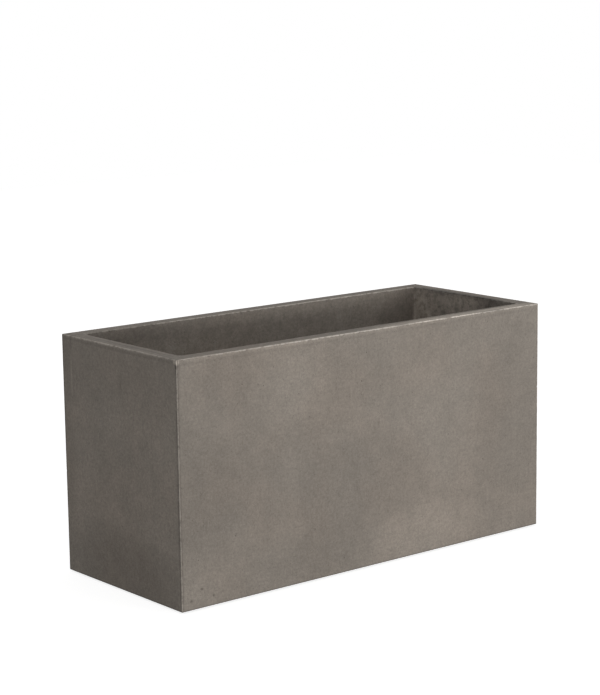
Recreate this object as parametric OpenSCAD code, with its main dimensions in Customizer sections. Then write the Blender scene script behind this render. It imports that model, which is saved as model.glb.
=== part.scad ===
// Self-watering trough planter.
// A fibre-cement shell holds a plastic reservoir tank. Two perforated decks close the tank and carry
// the soil, four wick cups hang from them into the water, and a fill tube and a float gauge stand in
// the front right corner. A standpipe in the tank floor sets the highest water level.
// Millimetres, +Z up, origin on the ground under the middle of the trough, long front face towards -Y.

/* [Shell] */
// Outside length of the trough
shell_length = 980; // [900:10:1300]
// Outside width of the trough, front to back
shell_width = 400; // [370:5:560]
// Height of the shell from its underside to the rim
shell_height = 500; // [420:10:700]
// Thickness of the four walls
wall_thickness = 32; // [20:1:40]
// Thickness of the floor slab
floor_thickness = 34; // [30:1:60]
// Rounding of the outside and rim arrises
arris_radius = 1.5; // [1:0.5:6]
// Rounding of the upright inside corners
inner_corner_radius = 8; // [7:1:30]

/* [Feet] */
// Diameter of a rubber foot pad
foot_diameter = 44; // [30:1:60]
// Full height of a foot pad
foot_height = 7; // [5:0.5:12]
// Depth of the pocket that a pad is glued into
foot_recess = 3; // [1:0.5:4]
// Distance from the outside faces to the middle of a pad
foot_inset = 70; // [50:5:110]

/* [Reservoir tank] */
// Height of the tank, floor to flange top
tank_depth = 118; // [108:2:150]
// Thickness of the tank's walls and floor
tank_wall = 3; // [2:0.5:4]
// Width of the flange that the decks rest on
tank_flange = 9; // [6:1:14]
// Gap between the flange and the shell
tank_gap = 2.5; // [1:0.5:5]
// How far each tank wall leans in towards the floor
tank_draft = 6; // [2:1:10]
// Rounding of the tank's upright corners
tank_corner_radius = 24; // [16:1:40]

/* [Decks] */
// Thickness of a deck plate
deck_thickness = 3; // [2:0.5:5]
// Gap between a deck's edge and the shell
deck_gap = 3; // [1.5:0.5:6]
// Gap between the two decks
deck_seam = 2; // [1:0.5:5]
// Depth of the ribs under a deck
rib_height = 10; // [6:1:14]
// Thickness of a rib
rib_thickness = 2.4; // [1.6:0.2:4]
// Gap between the rib frame and the tank's inside
rib_gap = 3; // [1.5:0.5:6]
// Length of an aeration slot
slot_length = 26; // [16:1:40]
// Width of an aeration slot
slot_width = 4; // [2:0.5:5]
// Plate left between neighbouring slots
slot_web = 10; // [7:1:16]
// Length of a finger hole for lifting a deck out
finger_length = 60; // [45:1:70]
// Width of a finger hole
finger_width = 24; // [20:1:28]

/* [Wick cups] */
// Outside diameter of a cup just under its flange
cup_mouth_diameter = 96; // [70:2:104]
// Outside diameter of a cup at its base
cup_base_diameter = 76; // [50:2:90]
// Wall of a cup
cup_wall = 2; // [1.5:0.5:3]
// How far the cup's flange overhangs its wall
cup_flange = 7; // [4:1:10]
// Upright wicking slots around a cup
cup_slots = 12; // [6:1:18]
// Width of a wicking slot
cup_slot_width = 4; // [2:0.5:6]
// Gap between a cup's base and the tank floor
cup_floor_gap = 3; // [1:0.5:8]
// Gap between a cup and its hole in the deck
cup_fit = 0.6; // [0.3:0.1:1.5]

/* [Posts] */
// Outside diameter of a deck post
post_diameter = 28; // [22:1:34]
// Wall of a deck post
post_wall = 2.5; // [1.5:0.5:4]
// Distance from the deck seam to the first row of posts
post_seam_inset = 50; // [42:1:56]
// Distance from the tank's long inside wall to a post's middle
post_wall_inset = 42; // [32:1:50]
// Height of the locating ring around a post's foot
socket_height = 6; // [4:1:10]
// Wall of a locating ring
socket_wall = 2.5; // [1.5:0.5:4]
// Gap between a post and its sockets
socket_fit = 0.3; // [0.2:0.1:0.6]

/* [Fill tube] */
// Outside diameter of the fill tube
fill_diameter = 40; // [32:1:46]
// Wall of the fill tube
fill_wall = 2; // [1.5:0.5:3]
// Distance from the shell's end wall to the fill tube's middle
fill_inset_x = 53; // [50:1:70]
// Distance from the shell's front wall to the fill tube's middle
fill_inset_y = 50; // [46:1:60]
// How far the funnel's rim is below the shell's rim
funnel_drop = 40; // [30:1:80]
// Height of the funnel's cone
cone_height = 20; // [14:1:30]
// Inside radius of the funnel's mouth
mouth_radius = 29; // [26:0.5:31]
// Wall of the funnel
funnel_wall = 2.5; // [2:0.5:4]
// Length of the funnel's socket over the tube
funnel_socket = 24; // [14:1:40]
// Sliding gap between the tubes and what holds them
tube_fit = 0.2; // [0.1:0.05:0.4]

/* [Fill cap] */
// Thickness of the cap's plate
cap_thickness = 4; // [3:0.5:6]
// Thickness of the seal under the cap
cap_seal_thickness = 1.5; // [1:0.5:3]
// Gap from the funnel's rim to the hinge axis
hinge_reach = 5.5; // [5:0.5:8]
// Diameter of the hinge pin
hinge_pin_diameter = 4; // [3:0.5:5]
// Length of the cap's knuckle
knuckle_length = 16; // [12:1:24]
// Thickness of each hinge ear
ear_thickness = 4; // [3:0.5:6]

/* [Float gauge] */
// Outside diameter of the gauge tube
gauge_diameter = 26; // [24:1:30]
// Wall of the gauge tube
gauge_wall = 2; // [1.5:0.5:2.5]
// Distance between the fill tube and the gauge tube, middle to middle
tube_spacing = 58; // [52:1:70]
// How far the gauge's top is below the shell's rim
gauge_drop = 32; // [28:1:70]
// Rise of the float from empty to full
float_travel = 55; // [40:1:60]
// Diameter of the float
float_diameter = 20; // [16:0.5:20]
// Length of the float
float_length = 40; // [30:1:44]
// Diameter of the gauge rod
rod_diameter = 4; // [3:0.5:5]
// Diameter of the flag on the rod
flag_diameter = 14; // [10:0.5:15]
// Height of the flag
flag_height = 18; // [12:1:24]

/* [Overflow] */
// Depth of water at which the standpipe overflows
water_depth = 75; // [55:1:78]
// Outside diameter of the standpipe
pipe_diameter = 25; // [20:0.5:27]
// Wall of the standpipe
pipe_wall = 3; // [2.6:0.1:4]
// Depth of the standpipe's socket in the drain fitting
pipe_socket = 18; // [14:1:22]
// Outside diameter of the drain fitting's barrel
barrel_diameter = 32; // [30:0.5:38]
// Diameter of the drain outlet
outlet_diameter = 18; // [12:0.5:20]
// Diameter of the drain fitting's flange
drain_flange_diameter = 60; // [50:1:70]

/* [Hidden] */
$fn = 64;
overcut = 1;

// Colours
concrete_colour = [0.50, 0.47, 0.44];
tank_colour = [0.10, 0.10, 0.11];
deck_colour = [0.18, 0.19, 0.19];
cup_colour = [0.15, 0.16, 0.16];
tube_colour = [0.24, 0.25, 0.25];
rubber_colour = [0.07, 0.07, 0.07];
clear_colour = [0.82, 0.88, 0.88, 0.4];
flag_colour = [0.80, 0.20, 0.08];
float_colour = [0.90, 0.88, 0.80];
cap_colour = [0.24, 0.25, 0.25];
pin_colour = [0.75, 0.75, 0.76];
rod_colour = [0.86, 0.86, 0.84];
ring_colour = [0.92, 0.92, 0.90];

// Levels
foot_gap = foot_height - foot_recess;
shell_top_z = foot_gap + shell_height;
cavity_floor_z = foot_gap + floor_thickness;
tank_floor_z = cavity_floor_z + tank_wall;
deck_z = cavity_floor_z + tank_depth;
deck_top_z = deck_z + deck_thickness;

// Plan sizes
cavity_length = shell_length - 2 * wall_thickness;
cavity_width = shell_width - 2 * wall_thickness;
flange_length = cavity_length - 2 * tank_gap;
flange_width = cavity_width - 2 * tank_gap;
tub_length = flange_length - 2 * tank_flange;
tub_width = flange_width - 2 * tank_flange;
opening_length = tub_length - 2 * tank_wall;
opening_width = tub_width - 2 * tank_wall;
deck_length = cavity_length - 2 * deck_gap;
deck_width = cavity_width - 2 * deck_gap;
panel_length = (deck_length - deck_seam) / 2;
panel_middle = (deck_seam + panel_length) / 2;

// Foot pads
foot_x = shell_length / 2 - foot_inset;
foot_y = shell_width / 2 - foot_inset;
foot_fit = 0.3;
foot_chamfer = 1.5;

// Wick cups, counted from the left end, with the middle of each in its share of the deck
cups_per_deck = 2;
cup_mouth_r = cup_mouth_diameter / 2;
cup_base_r = cup_base_diameter / 2;
cup_hole_r = cup_mouth_r + cup_fit;
cup_flange_thickness = 3;
cup_base_z = tank_floor_z + cup_floor_gap;
cup_base_thickness = 2.5;
cup_slot_margin = 18;
cup_drain_r = 3;
cup_drain_count = 6;
function cup_x(side, i) = side * (deck_seam / 2 + panel_length * (i + 0.5) / cups_per_deck);

// Posts: two rows in each deck, one beside the seam and one in the middle of the panel
post_r = post_diameter / 2;
post_y = opening_width / 2 - post_wall_inset;
post_notch_width = 8;
post_notch_height = 9;
socket_r = post_r + socket_fit + socket_wall;
function post_places(side) = [
    for (x = [deck_seam / 2 + post_seam_inset, panel_middle], y = [-post_y, post_y])
        [side * x, y]
];

// Fill tube and funnel
fill_r = fill_diameter / 2;
fill_x = cavity_length / 2 - fill_inset_x;
fill_y = -(cavity_width / 2 - fill_inset_y);
tube_floor_gap = 3;
tube_bottom_z = tank_floor_z + tube_floor_gap;
funnel_rim_z = shell_top_z - funnel_drop;
throat_height = 4;
fill_top_z = funnel_rim_z - cone_height - throat_height;
fill_bore_r = fill_r - fill_wall;
funnel_socket_r = fill_r + tube_fit;
rim_r = mouth_radius + funnel_wall;
fill_notch_r = 8;
bead_width = 3;
bead_height = 4;

// Tube base on the deck
base_thickness = 3;
collar_height = 16;
collar_wall = 4;
spigot_wall = 2.5;
spigot_length = deck_thickness + 4;
spigot_fit = 0.2;
base_corner_r = 20;
base_margin = 10;
bead_z = deck_top_z + base_thickness + collar_height;
clip_z = (bead_z + fill_top_z) / 2;
clip_height = 12;
clip_wall = 3;
clip_web = 6;

// Cap hinge, behind the funnel so that the open cap leans over the soil
hinge_turn = -90;
hinge_x = -(rim_r + hinge_reach);
hinge_z = funnel_rim_z;
ear_r = hinge_pin_diameter / 2 + 2.5;
knuckle_r = hinge_pin_diameter / 2 + 2.2;
ear_fit = 0.02;
knuckle_fit = 0.06;
hinge_side_gap = 0.4;
ear_root_depth = 9;
ear_root_drop = 3;
cap_r = rim_r;
cap_bottom_z = funnel_rim_z + cap_seal_thickness;
cap_top_z = cap_bottom_z + cap_thickness;
cap_edge = 1.4;
cap_dish_depth = 1;
cap_dish_margin = 8;
plug_depth = 3;
seal_inset = 1.2;
plug_gap = 3;
plug_wall = 2;
thumb_width = 14;
thumb_reach = 6;

// Float gauge
gauge_r = gauge_diameter / 2;
gauge_bore_r = gauge_r - gauge_wall;
gauge_x = fill_x - tube_spacing;
gauge_y = fill_y;
gauge_top_z = shell_top_z - gauge_drop;
gauge_cap_top = 3;
gauge_cap_wall = 1.8;
gauge_guide = 3;
flag_gap = 1.5;
window_wall = 2;
window_spigot = 14;
window_fit = 0.15;
window_top_z = gauge_top_z - gauge_cap_top;
window_z = window_top_z - gauge_guide - 2 * flag_gap - flag_height - float_travel;
gauge_foot_cup = 10;
gauge_foot_wall = 1.8;
gauge_foot_floor = 2;
gauge_foot_hole_r = 5;
float_gap = 0.2;
float_z = tube_bottom_z + gauge_foot_floor + float_gap;
float_edge = 4;
rod_socket = 10;
rod_fit = 0.02;
rod_guide_fit = 0.4;
flag_z = window_z + gauge_guide + flag_gap;
rod_bottom_z = float_z + float_length - rod_socket;
rod_top_z = flag_z + rod_socket;
ring_height = 2.5;
ring_wall = 0.8;
ring_gap = 1;
gauge_cap_skirt = flag_height / 2 + flag_gap - ring_height / 2 - ring_gap;
gauge_slot_width = 5;
gauge_slot_z = tube_bottom_z + gauge_foot_cup + 4;
gauge_slot_height = float_travel;

// Overflow and drain fitting, under the middle of the trough
drain_gasket_thickness = 2.5;
drain_flange_thickness = 5;
drain_flange_z = tank_floor_z + drain_gasket_thickness;
drain_mouth_z = drain_flange_z + drain_flange_thickness;
pipe_foot_z = drain_mouth_z - pipe_socket;
pipe_top_z = tank_floor_z + water_depth;
pipe_r = pipe_diameter / 2;
pipe_fit = 0.3;
barrel_r = barrel_diameter / 2;
barrel_end_z = foot_gap + 4;
barrel_fit = 0.6;
mouth_chamfer = 2;
nut_pocket_depth = 18;
nut_pocket_r = 42;
nut_pocket_z = foot_gap + nut_pocket_depth;
washer_thickness = 2;
washer_r = 30;
nut_thickness = 9;
nut_r = 26;
nut_fit = 0.15;
seal_section_r = 0.95;
seal_groove_depth = 1.8;
seal_groove_height = 2.6;
seal_z = pipe_foot_z + 5;
seal_ring_r = pipe_r - seal_groove_depth + seal_section_r + 0.05;
strainer_wall = 2;
strainer_overlap = 9;
strainer_window = 7;
strainer_top = 2.5;
strainer_slots = 8;
strainer_slot_width = 5;

// A rectangle about the origin with round corners
module rounded_rect(size, r) {
    square([size[0] - 2 * r, size[1]], center = true);
    square([size[0], size[1] - 2 * r], center = true);
    for (x = [-1, 1], y = [-1, 1])
        translate([x * (size[0] / 2 - r), y * (size[1] / 2 - r)]) circle(r);
}

// A straight slot along X with round ends
module obround(length, width) {
    square([length - width, width], center = true);
    for (x = [-1, 1]) translate([x * (length - width) / 2, 0]) circle(width / 2);
}

// A round tube standing on z, with its bore open at both ends
module tube(outer_r, inner_r, height) {
    difference() {
        cylinder(r = outer_r, h = height);
        translate([0, 0, -overcut]) cylinder(r = inner_r, h = height + 2 * overcut);
    }
}

// A block on z = 0 whose twelve edges are rounded
module rounded_block(length, width, height, r) {
    intersection() {
        linear_extrude(height) rounded_rect([length, width], r);
        translate([0, width / 2, height / 2]) rotate([90, 0, 0])
            linear_extrude(width) rounded_rect([length, height], r);
        translate([-length / 2, 0, height / 2]) rotate([90, 0, 90])
            linear_extrude(length) rounded_rect([width, height], r);
    }
}

// The corner that is taken off an arris: u runs into the wall and v runs down from the rim
module arris_profile(r) {
    difference() {
        translate([-overcut, -r]) square([r + overcut, r + overcut]);
        translate([r, -r]) circle(r);
    }
}

// Cutter that rounds the inside arris of the rim, along the four sides and round the four corners
module rim_roundover() {
    straight_x = cavity_length - 2 * inner_corner_radius;
    straight_y = cavity_width - 2 * inner_corner_radius;
    for (turn = [0, 180]) rotate(turn) {
        translate([-straight_x / 2, cavity_width / 2, 0]) rotate([90, 0, 90])
            linear_extrude(straight_x) arris_profile(arris_radius);
        translate([cavity_length / 2, straight_y / 2, 0]) rotate([90, 0, 0])
            linear_extrude(straight_y) arris_profile(arris_radius);
    }
    for (x = [-1, 1], y = [-1, 1])
        translate([x * straight_x / 2, y * straight_y / 2, 0])
            rotate(x > 0 ? (y > 0 ? 0 : 270) : (y > 0 ? 90 : 180))
                rotate_extrude(angle = 90) translate([inner_corner_radius, 0])
                    arris_profile(arris_radius);
}

// Shell and feet
module planter_shell() {
    color(concrete_colour) difference() {
        translate([0, 0, foot_gap]) rounded_block(shell_length, shell_width, shell_height, arris_radius);
        translate([0, 0, cavity_floor_z]) linear_extrude(shell_height)
            rounded_rect([cavity_length, cavity_width], inner_corner_radius);
        translate([0, 0, shell_top_z]) rim_roundover();
        translate([0, 0, foot_gap - overcut]) cylinder(r = nut_pocket_r, h = nut_pocket_depth + overcut);
        translate([0, 0, foot_gap]) cylinder(r = barrel_r + barrel_fit, h = floor_thickness + overcut);
        for (x = [-foot_x, foot_x], y = [-foot_y, foot_y]) translate([x, y, foot_gap - overcut])
            cylinder(r = foot_diameter / 2 + foot_fit, h = foot_recess + overcut);
    }
}

module foot_pads() {
    pad_r = foot_diameter / 2;
    color(rubber_colour)
        for (x = [-foot_x, foot_x], y = [-foot_y, foot_y]) translate([x, y, 0]) {
            cylinder(r1 = pad_r - foot_chamfer, r2 = pad_r, h = foot_chamfer);
            translate([0, 0, foot_chamfer]) cylinder(r = pad_r, h = foot_height - foot_chamfer);
        }
}

// Reservoir tank
module tub_form(inset, z) {
    hull() {
        translate([0, 0, z]) linear_extrude(overcut)
            rounded_rect([tub_length - 2 * (tank_draft + inset), tub_width - 2 * (tank_draft + inset)],
                         tank_corner_radius - inset, $fn = 32);
        translate([0, 0, deck_z - overcut]) linear_extrude(overcut)
            rounded_rect([tub_length - 2 * inset, tub_width - 2 * inset],
                         tank_corner_radius - inset, $fn = 32);
    }
}

module reservoir_tank() {
    color(tank_colour) {
        difference() {
            union() {
                tub_form(0, cavity_floor_z);
                translate([0, 0, deck_z - tank_wall]) linear_extrude(tank_wall)
                    rounded_rect([flange_length, flange_width], inner_corner_radius - tank_gap);
            }
            tub_form(tank_wall, tank_floor_z);
            translate([0, 0, deck_z - overcut]) linear_extrude(2 * overcut)
                rounded_rect([opening_length, opening_width], tank_corner_radius - tank_wall);
            translate([0, 0, cavity_floor_z - overcut])
                cylinder(r = barrel_r + barrel_fit, h = tank_wall + 2 * overcut);
        }
        for (side = [-1, 1], p = post_places(side)) translate([p[0], p[1], tank_floor_z - tank_wall / 2])
            tube(socket_r, post_r + socket_fit, socket_height + tank_wall / 2);
    }
}

// Drain fitting, clamped through the tank floor and the slab
module drain_fitting() {
    color(tube_colour) difference() {
        union() {
            translate([0, 0, barrel_end_z]) cylinder(r = barrel_r, h = drain_mouth_z - barrel_end_z);
            translate([0, 0, drain_flange_z])
                cylinder(d = drain_flange_diameter, h = drain_flange_thickness);
        }
        translate([0, 0, barrel_end_z - overcut])
            cylinder(d = outlet_diameter, h = drain_mouth_z - barrel_end_z);
        translate([0, 0, pipe_foot_z]) cylinder(r = pipe_r + pipe_fit, h = pipe_socket + overcut);
        translate([0, 0, drain_mouth_z - mouth_chamfer])
            cylinder(r1 = pipe_r + pipe_fit, r2 = pipe_r + pipe_fit + mouth_chamfer, h = mouth_chamfer);
    }
}

module drain_gasket() {
    color(rubber_colour) translate([0, 0, tank_floor_z])
        tube(drain_flange_diameter / 2, barrel_r + barrel_fit / 2, drain_gasket_thickness);
}

module drain_washer() {
    color(rubber_colour) translate([0, 0, nut_pocket_z - washer_thickness])
        tube(washer_r, barrel_r + barrel_fit / 2, washer_thickness);
}

module drain_nut() {
    color(tube_colour) translate([0, 0, nut_pocket_z - washer_thickness - nut_thickness]) difference() {
        cylinder(r = nut_r, h = nut_thickness, $fn = 6);
        translate([0, 0, -overcut]) cylinder(r = barrel_r + nut_fit, h = nut_thickness + 2 * overcut);
    }
}

// Standpipe, its seal and its strainer
module overflow_pipe() {
    color(tube_colour) difference() {
        translate([0, 0, pipe_foot_z]) tube(pipe_r, pipe_r - pipe_wall, pipe_top_z - pipe_foot_z);
        translate([0, 0, seal_z - seal_groove_height / 2])
            tube(pipe_r + overcut, pipe_r - seal_groove_depth, seal_groove_height);
    }
}

module overflow_seal() {
    color(rubber_colour) translate([0, 0, seal_z])
        rotate_extrude() translate([seal_ring_r, 0]) circle(seal_section_r);
}

module overflow_strainer() {
    skirt_r = pipe_r + tube_fit;
    strainer_z = pipe_top_z - strainer_overlap;
    inside_height = strainer_overlap + strainer_window;
    color(tube_colour) translate([0, 0, strainer_z]) difference() {
        cylinder(r = skirt_r + strainer_wall, h = inside_height + strainer_top);
        translate([0, 0, -overcut]) cylinder(r = skirt_r, h = inside_height + overcut);
        for (i = [0 : strainer_slots - 1]) rotate(i * 360 / strainer_slots)
            translate([0, -strainer_slot_width / 2, strainer_overlap + overcut])
                cube([skirt_r + 2 * strainer_wall, strainer_slot_width, strainer_window - overcut]);
    }
}

// Decks. Each has a finger hole beside the seam and one at its outer end
finger_seam_x = deck_seam / 2 + rib_gap + 2 * rib_thickness + finger_width / 2 + 6;
finger_end_x = opening_length / 2 - rib_gap - 2 * rib_thickness - finger_width / 2 - 2;
function finger_places(side) = [[side * finger_seam_x, 0], [side * finger_end_x, 0]];

// What a slot has to keep clear of, as [x, y, radius]
slot_clearance = slot_width;
function keep_outs(side) = concat(
    [for (i = [0 : cups_per_deck - 1]) [cup_x(side, i), 0, cup_mouth_r + cup_flange]],
    [for (p = post_places(side)) [p[0], p[1], socket_r]],
    [
        for (p = finger_places(side), k = [-1, 0, 1])
            [p[0], p[1] + k * finger_length / 3, finger_width / 2]
    ],
    side < 0 ? [] : [
        [fill_x, fill_y, fill_r + base_margin + collar_wall],
        [gauge_x, gauge_y, gauge_r + base_margin + collar_wall]
    ]
);
function slot_is_clear(x, y, outs) = len([
    for (o = outs, k = [-0.5, 0, 0.5])
        if (norm([x + k * slot_length - o[0], y - o[1]]) < o[2] + slot_clearance) 1
]) == 0;

// Slots stand in columns along X and rows along Y, an even number of each, so that ribs and posts
// fall between them on the middle of the panel
slot_pitch_x = slot_length + slot_web;
slot_pitch_y = slot_width + slot_web;
slot_margin = deck_gap + tank_flange + tank_wall + rib_gap + rib_thickness;
slot_columns = 2 * floor((panel_length - 2 * slot_margin + slot_web) / slot_pitch_x / 2);
slot_rows = 2 * floor((deck_width - 2 * slot_margin + slot_web) / slot_pitch_y / 2);
function slot_x(side, i) = side * (panel_middle + (i - (slot_columns - 1) / 2) * slot_pitch_x);
function slot_y(j) = (j - (slot_rows - 1) / 2) * slot_pitch_y;
rib_every_column = 3;
rib_every_row = 4;

module deck_slots(side) {
    outs = keep_outs(side);
    for (i = [0 : slot_columns - 1], j = [0 : slot_rows - 1])
        if (slot_is_clear(slot_x(side, i), slot_y(j), outs))
            translate([slot_x(side, i), slot_y(j)]) obround(slot_length, slot_width);
}

module panel_outline(side, length, width, r, seam) {
    intersection() {
        rounded_rect([length, width], r);
        translate([side * (length + seam) / 2, 0]) square([length, 2 * width], center = true);
    }
}

module cup_holes(side) {
    for (i = [0 : cups_per_deck - 1]) translate([cup_x(side, i), 0]) circle(cup_hole_r);
}

module tube_holes(side) {
    if (side > 0) {
        translate([fill_x, fill_y]) circle(fill_r + tube_fit + spigot_wall + spigot_fit);
        translate([gauge_x, gauge_y]) circle(gauge_r + tube_fit + spigot_wall + spigot_fit);
    }
}

module finger_holes(side) {
    for (p = finger_places(side)) translate(p) rotate(90) obround(finger_length, finger_width);
}

module rib_pattern(side) {
    frame_length = opening_length - 2 * rib_gap;
    frame_width = opening_width - 2 * rib_gap;
    frame_r = tank_corner_radius - tank_wall;
    seam = deck_seam + 2 * rib_gap;
    difference() {
        panel_outline(side, frame_length, frame_width, frame_r, seam);
        panel_outline(side, frame_length - 2 * rib_thickness, frame_width - 2 * rib_thickness,
                      frame_r - rib_thickness, seam + 2 * rib_thickness);
    }
    intersection() {
        panel_outline(side, frame_length - rib_thickness, frame_width - rib_thickness,
                      frame_r - rib_thickness, seam + rib_thickness);
        union() {
            for (i = [0 : rib_every_column : slot_columns / 2 - 1], way = i > 0 ? [-1, 1] : [1])
                translate([side * panel_middle + way * i * slot_pitch_x, 0])
                    square([rib_thickness, frame_width], center = true);
            for (j = [0 : rib_every_row : slot_rows / 2 - 1], way = j > 0 ? [-1, 1] : [1])
                translate([side * panel_middle, way * j * slot_pitch_y])
                    square([panel_length, rib_thickness], center = true);
        }
    }
    for (i = [0 : cups_per_deck - 1]) translate([cup_x(side, i), 0]) circle(cup_hole_r + rib_thickness);
    for (p = post_places(side)) translate(p) circle(socket_r);
    for (p = finger_places(side)) translate(p) rotate(90)
        obround(finger_length + 2 * rib_thickness, finger_width + 2 * rib_thickness);
    if (side > 0) {
        translate([fill_x, fill_y]) circle(fill_r + tube_fit + 2 * spigot_wall + spigot_fit);
        translate([gauge_x, gauge_y]) circle(gauge_r + tube_fit + 2 * spigot_wall + spigot_fit);
    }
}

module deck(side) {
    color(deck_colour) {
        translate([0, 0, deck_z]) linear_extrude(deck_thickness) difference() {
            panel_outline(side, deck_length, deck_width, inner_corner_radius, deck_seam);
            deck_slots(side);
            cup_holes(side);
            tube_holes(side);
            finger_holes(side);
        }
        translate([0, 0, deck_z - rib_height]) linear_extrude(rib_height) difference() {
            rib_pattern(side);
            cup_holes(side);
            tube_holes(side);
            finger_holes(side);
            for (p = post_places(side)) translate(p) circle(post_r + socket_fit);
        }
    }
}

module deck_posts(side) {
    post_height = deck_z - tank_floor_z;
    color(tube_colour) for (p = post_places(side)) translate([p[0], p[1], tank_floor_z]) difference() {
        tube(post_r, post_r - post_wall, post_height);
        for (turn = [0, 90]) rotate(turn)
            translate([-post_diameter, -post_notch_width / 2, -overcut])
                cube([2 * post_diameter, post_notch_width, post_notch_height + overcut]);
    }
}

// Wick cup: a slotted basket that hangs in the deck by its flange
module wick_cup(side, i) {
    slot_low = cup_base_z + cup_slot_margin;
    slot_high = deck_z - rib_height - cup_slot_margin;
    color(cup_colour) translate([cup_x(side, i), 0, 0]) difference() {
        rotate_extrude() polygon([
            [0, cup_base_z],
            [cup_base_r, cup_base_z],
            [cup_mouth_r, deck_top_z],
            [cup_mouth_r + cup_flange, deck_top_z],
            [cup_mouth_r + cup_flange, deck_top_z + cup_flange_thickness],
            [cup_mouth_r - cup_wall, deck_top_z + cup_flange_thickness],
            [cup_base_r - cup_wall, cup_base_z + cup_base_thickness],
            [0, cup_base_z + cup_base_thickness]
        ]);
        for (k = [0 : cup_slots - 1]) rotate(k * 360 / cup_slots)
            translate([cup_base_r - 3 * cup_wall, -cup_slot_width / 2, slot_low])
                cube([cup_mouth_r - cup_base_r + 4 * cup_wall, cup_slot_width, slot_high - slot_low]);
        for (k = [0 : cup_drain_count - 1]) rotate(k * 360 / cup_drain_count)
            translate([cup_base_r / 2, 0, cup_base_z - overcut])
                cylinder(r = cup_drain_r, h = cup_base_thickness + 2 * overcut);
    }
}

// Base that holds the fill tube and the gauge tube on the right deck
module tube_base() {
    base_half_width = fill_r + tube_fit + collar_wall + base_margin;
    base_length = tube_spacing + base_half_width + gauge_r + tube_fit + collar_wall + base_margin;
    base_left = gauge_x - gauge_r - tube_fit - collar_wall - base_margin;
    bore_height = spigot_length + base_thickness + collar_height;
    color(tube_colour) difference() {
        union() {
            translate([base_left + base_length / 2, fill_y, deck_top_z]) linear_extrude(base_thickness)
                rounded_rect([base_length, 2 * base_half_width], base_corner_r);
            for (t = [[fill_x, fill_r], [gauge_x, gauge_r]]) translate([t[0], fill_y, deck_top_z]) {
                cylinder(r = t[1] + tube_fit + collar_wall, h = base_thickness + collar_height);
                translate([0, 0, -spigot_length])
                    cylinder(r = t[1] + tube_fit + spigot_wall, h = spigot_length + overcut);
            }
        }
        for (t = [[fill_x, fill_r], [gauge_x, gauge_r]])
            translate([t[0], fill_y, deck_top_z - spigot_length - overcut])
                cylinder(r = t[1] + tube_fit, h = bore_height + 2 * overcut);
    }
}

module tube_clip() {
    color(tube_colour) translate([0, 0, clip_z]) difference() {
        union() {
            for (t = [[fill_x, fill_r], [gauge_x, gauge_r]]) translate([t[0], fill_y, 0])
                cylinder(r = t[1] + tube_fit + clip_wall, h = clip_height);
            translate([gauge_x, fill_y - clip_web / 2, 0]) cube([tube_spacing, clip_web, clip_height]);
        }
        for (t = [[fill_x, fill_r], [gauge_x, gauge_r]]) translate([t[0], fill_y, -overcut])
            cylinder(r = t[1] + tube_fit, h = clip_height + 2 * overcut);
    }
}

// Fill tube with arched feet, standing in the base by its bead
module fill_tube() {
    color(tube_colour) translate([fill_x, fill_y, 0]) difference() {
        union() {
            translate([0, 0, tube_bottom_z]) cylinder(r = fill_r, h = fill_top_z - tube_bottom_z);
            translate([0, 0, bead_z]) cylinder(r = fill_r + bead_width, h = bead_height);
        }
        translate([0, 0, tube_bottom_z - overcut])
            cylinder(r = fill_bore_r, h = fill_top_z - tube_bottom_z + 2 * overcut);
        for (turn = [0, 90]) rotate(turn) translate([0, fill_diameter, tube_bottom_z]) rotate([90, 0, 0])
            cylinder(r = fill_notch_r, h = 2 * fill_diameter);
    }
}

// Puts what is drawn about the fill tube's axis, with its hinge towards -X, in its place
module on_fill_axis() {
    translate([fill_x, fill_y, 0]) rotate(hinge_turn) children();
}

module hinge_ear(y) {
    translate([hinge_x, y, hinge_z]) rotate([90, 0, 0])
        linear_extrude(ear_thickness, center = true) hull() {
            circle(ear_r, $fn = 32);
            translate([hinge_reach + funnel_wall, -ear_root_depth])
                square([funnel_wall, ear_root_depth - ear_root_drop]);
        }
}

module fill_funnel() {
    ear_y = (knuckle_length + ear_thickness) / 2 + hinge_side_gap;
    socket_outer_r = funnel_socket_r + funnel_wall;
    socket_z = fill_top_z - funnel_socket;
    color(tube_colour) on_fill_axis() difference() {
        union() {
            rotate_extrude() polygon([
                [0, socket_z],
                [socket_outer_r, socket_z],
                [socket_outer_r, fill_top_z + throat_height],
                [rim_r, funnel_rim_z - funnel_wall],
                [rim_r, funnel_rim_z],
                [0, funnel_rim_z]
            ]);
            for (y = [-ear_y, ear_y]) hinge_ear(y);
        }
        rotate_extrude() polygon([
            [0, socket_z - overcut],
            [funnel_socket_r, socket_z - overcut],
            [funnel_socket_r, fill_top_z],
            [fill_bore_r, fill_top_z],
            [fill_bore_r, fill_top_z + throat_height],
            [mouth_radius, funnel_rim_z],
            [mouth_radius, funnel_rim_z + overcut],
            [0, funnel_rim_z + overcut]
        ]);
        translate([hinge_x, 0, hinge_z]) rotate([90, 0, 0])
            cylinder(r = hinge_pin_diameter / 2 + ear_fit, h = 4 * knuckle_length, center = true);
    }
}

module cap_hinge_pin() {
    pin_length = knuckle_length + 2 * (ear_thickness + hinge_side_gap);
    color(pin_colour) on_fill_axis() translate([hinge_x, 0, hinge_z]) rotate([90, 0, 0])
        cylinder(d = hinge_pin_diameter, h = pin_length, center = true);
}

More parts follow.
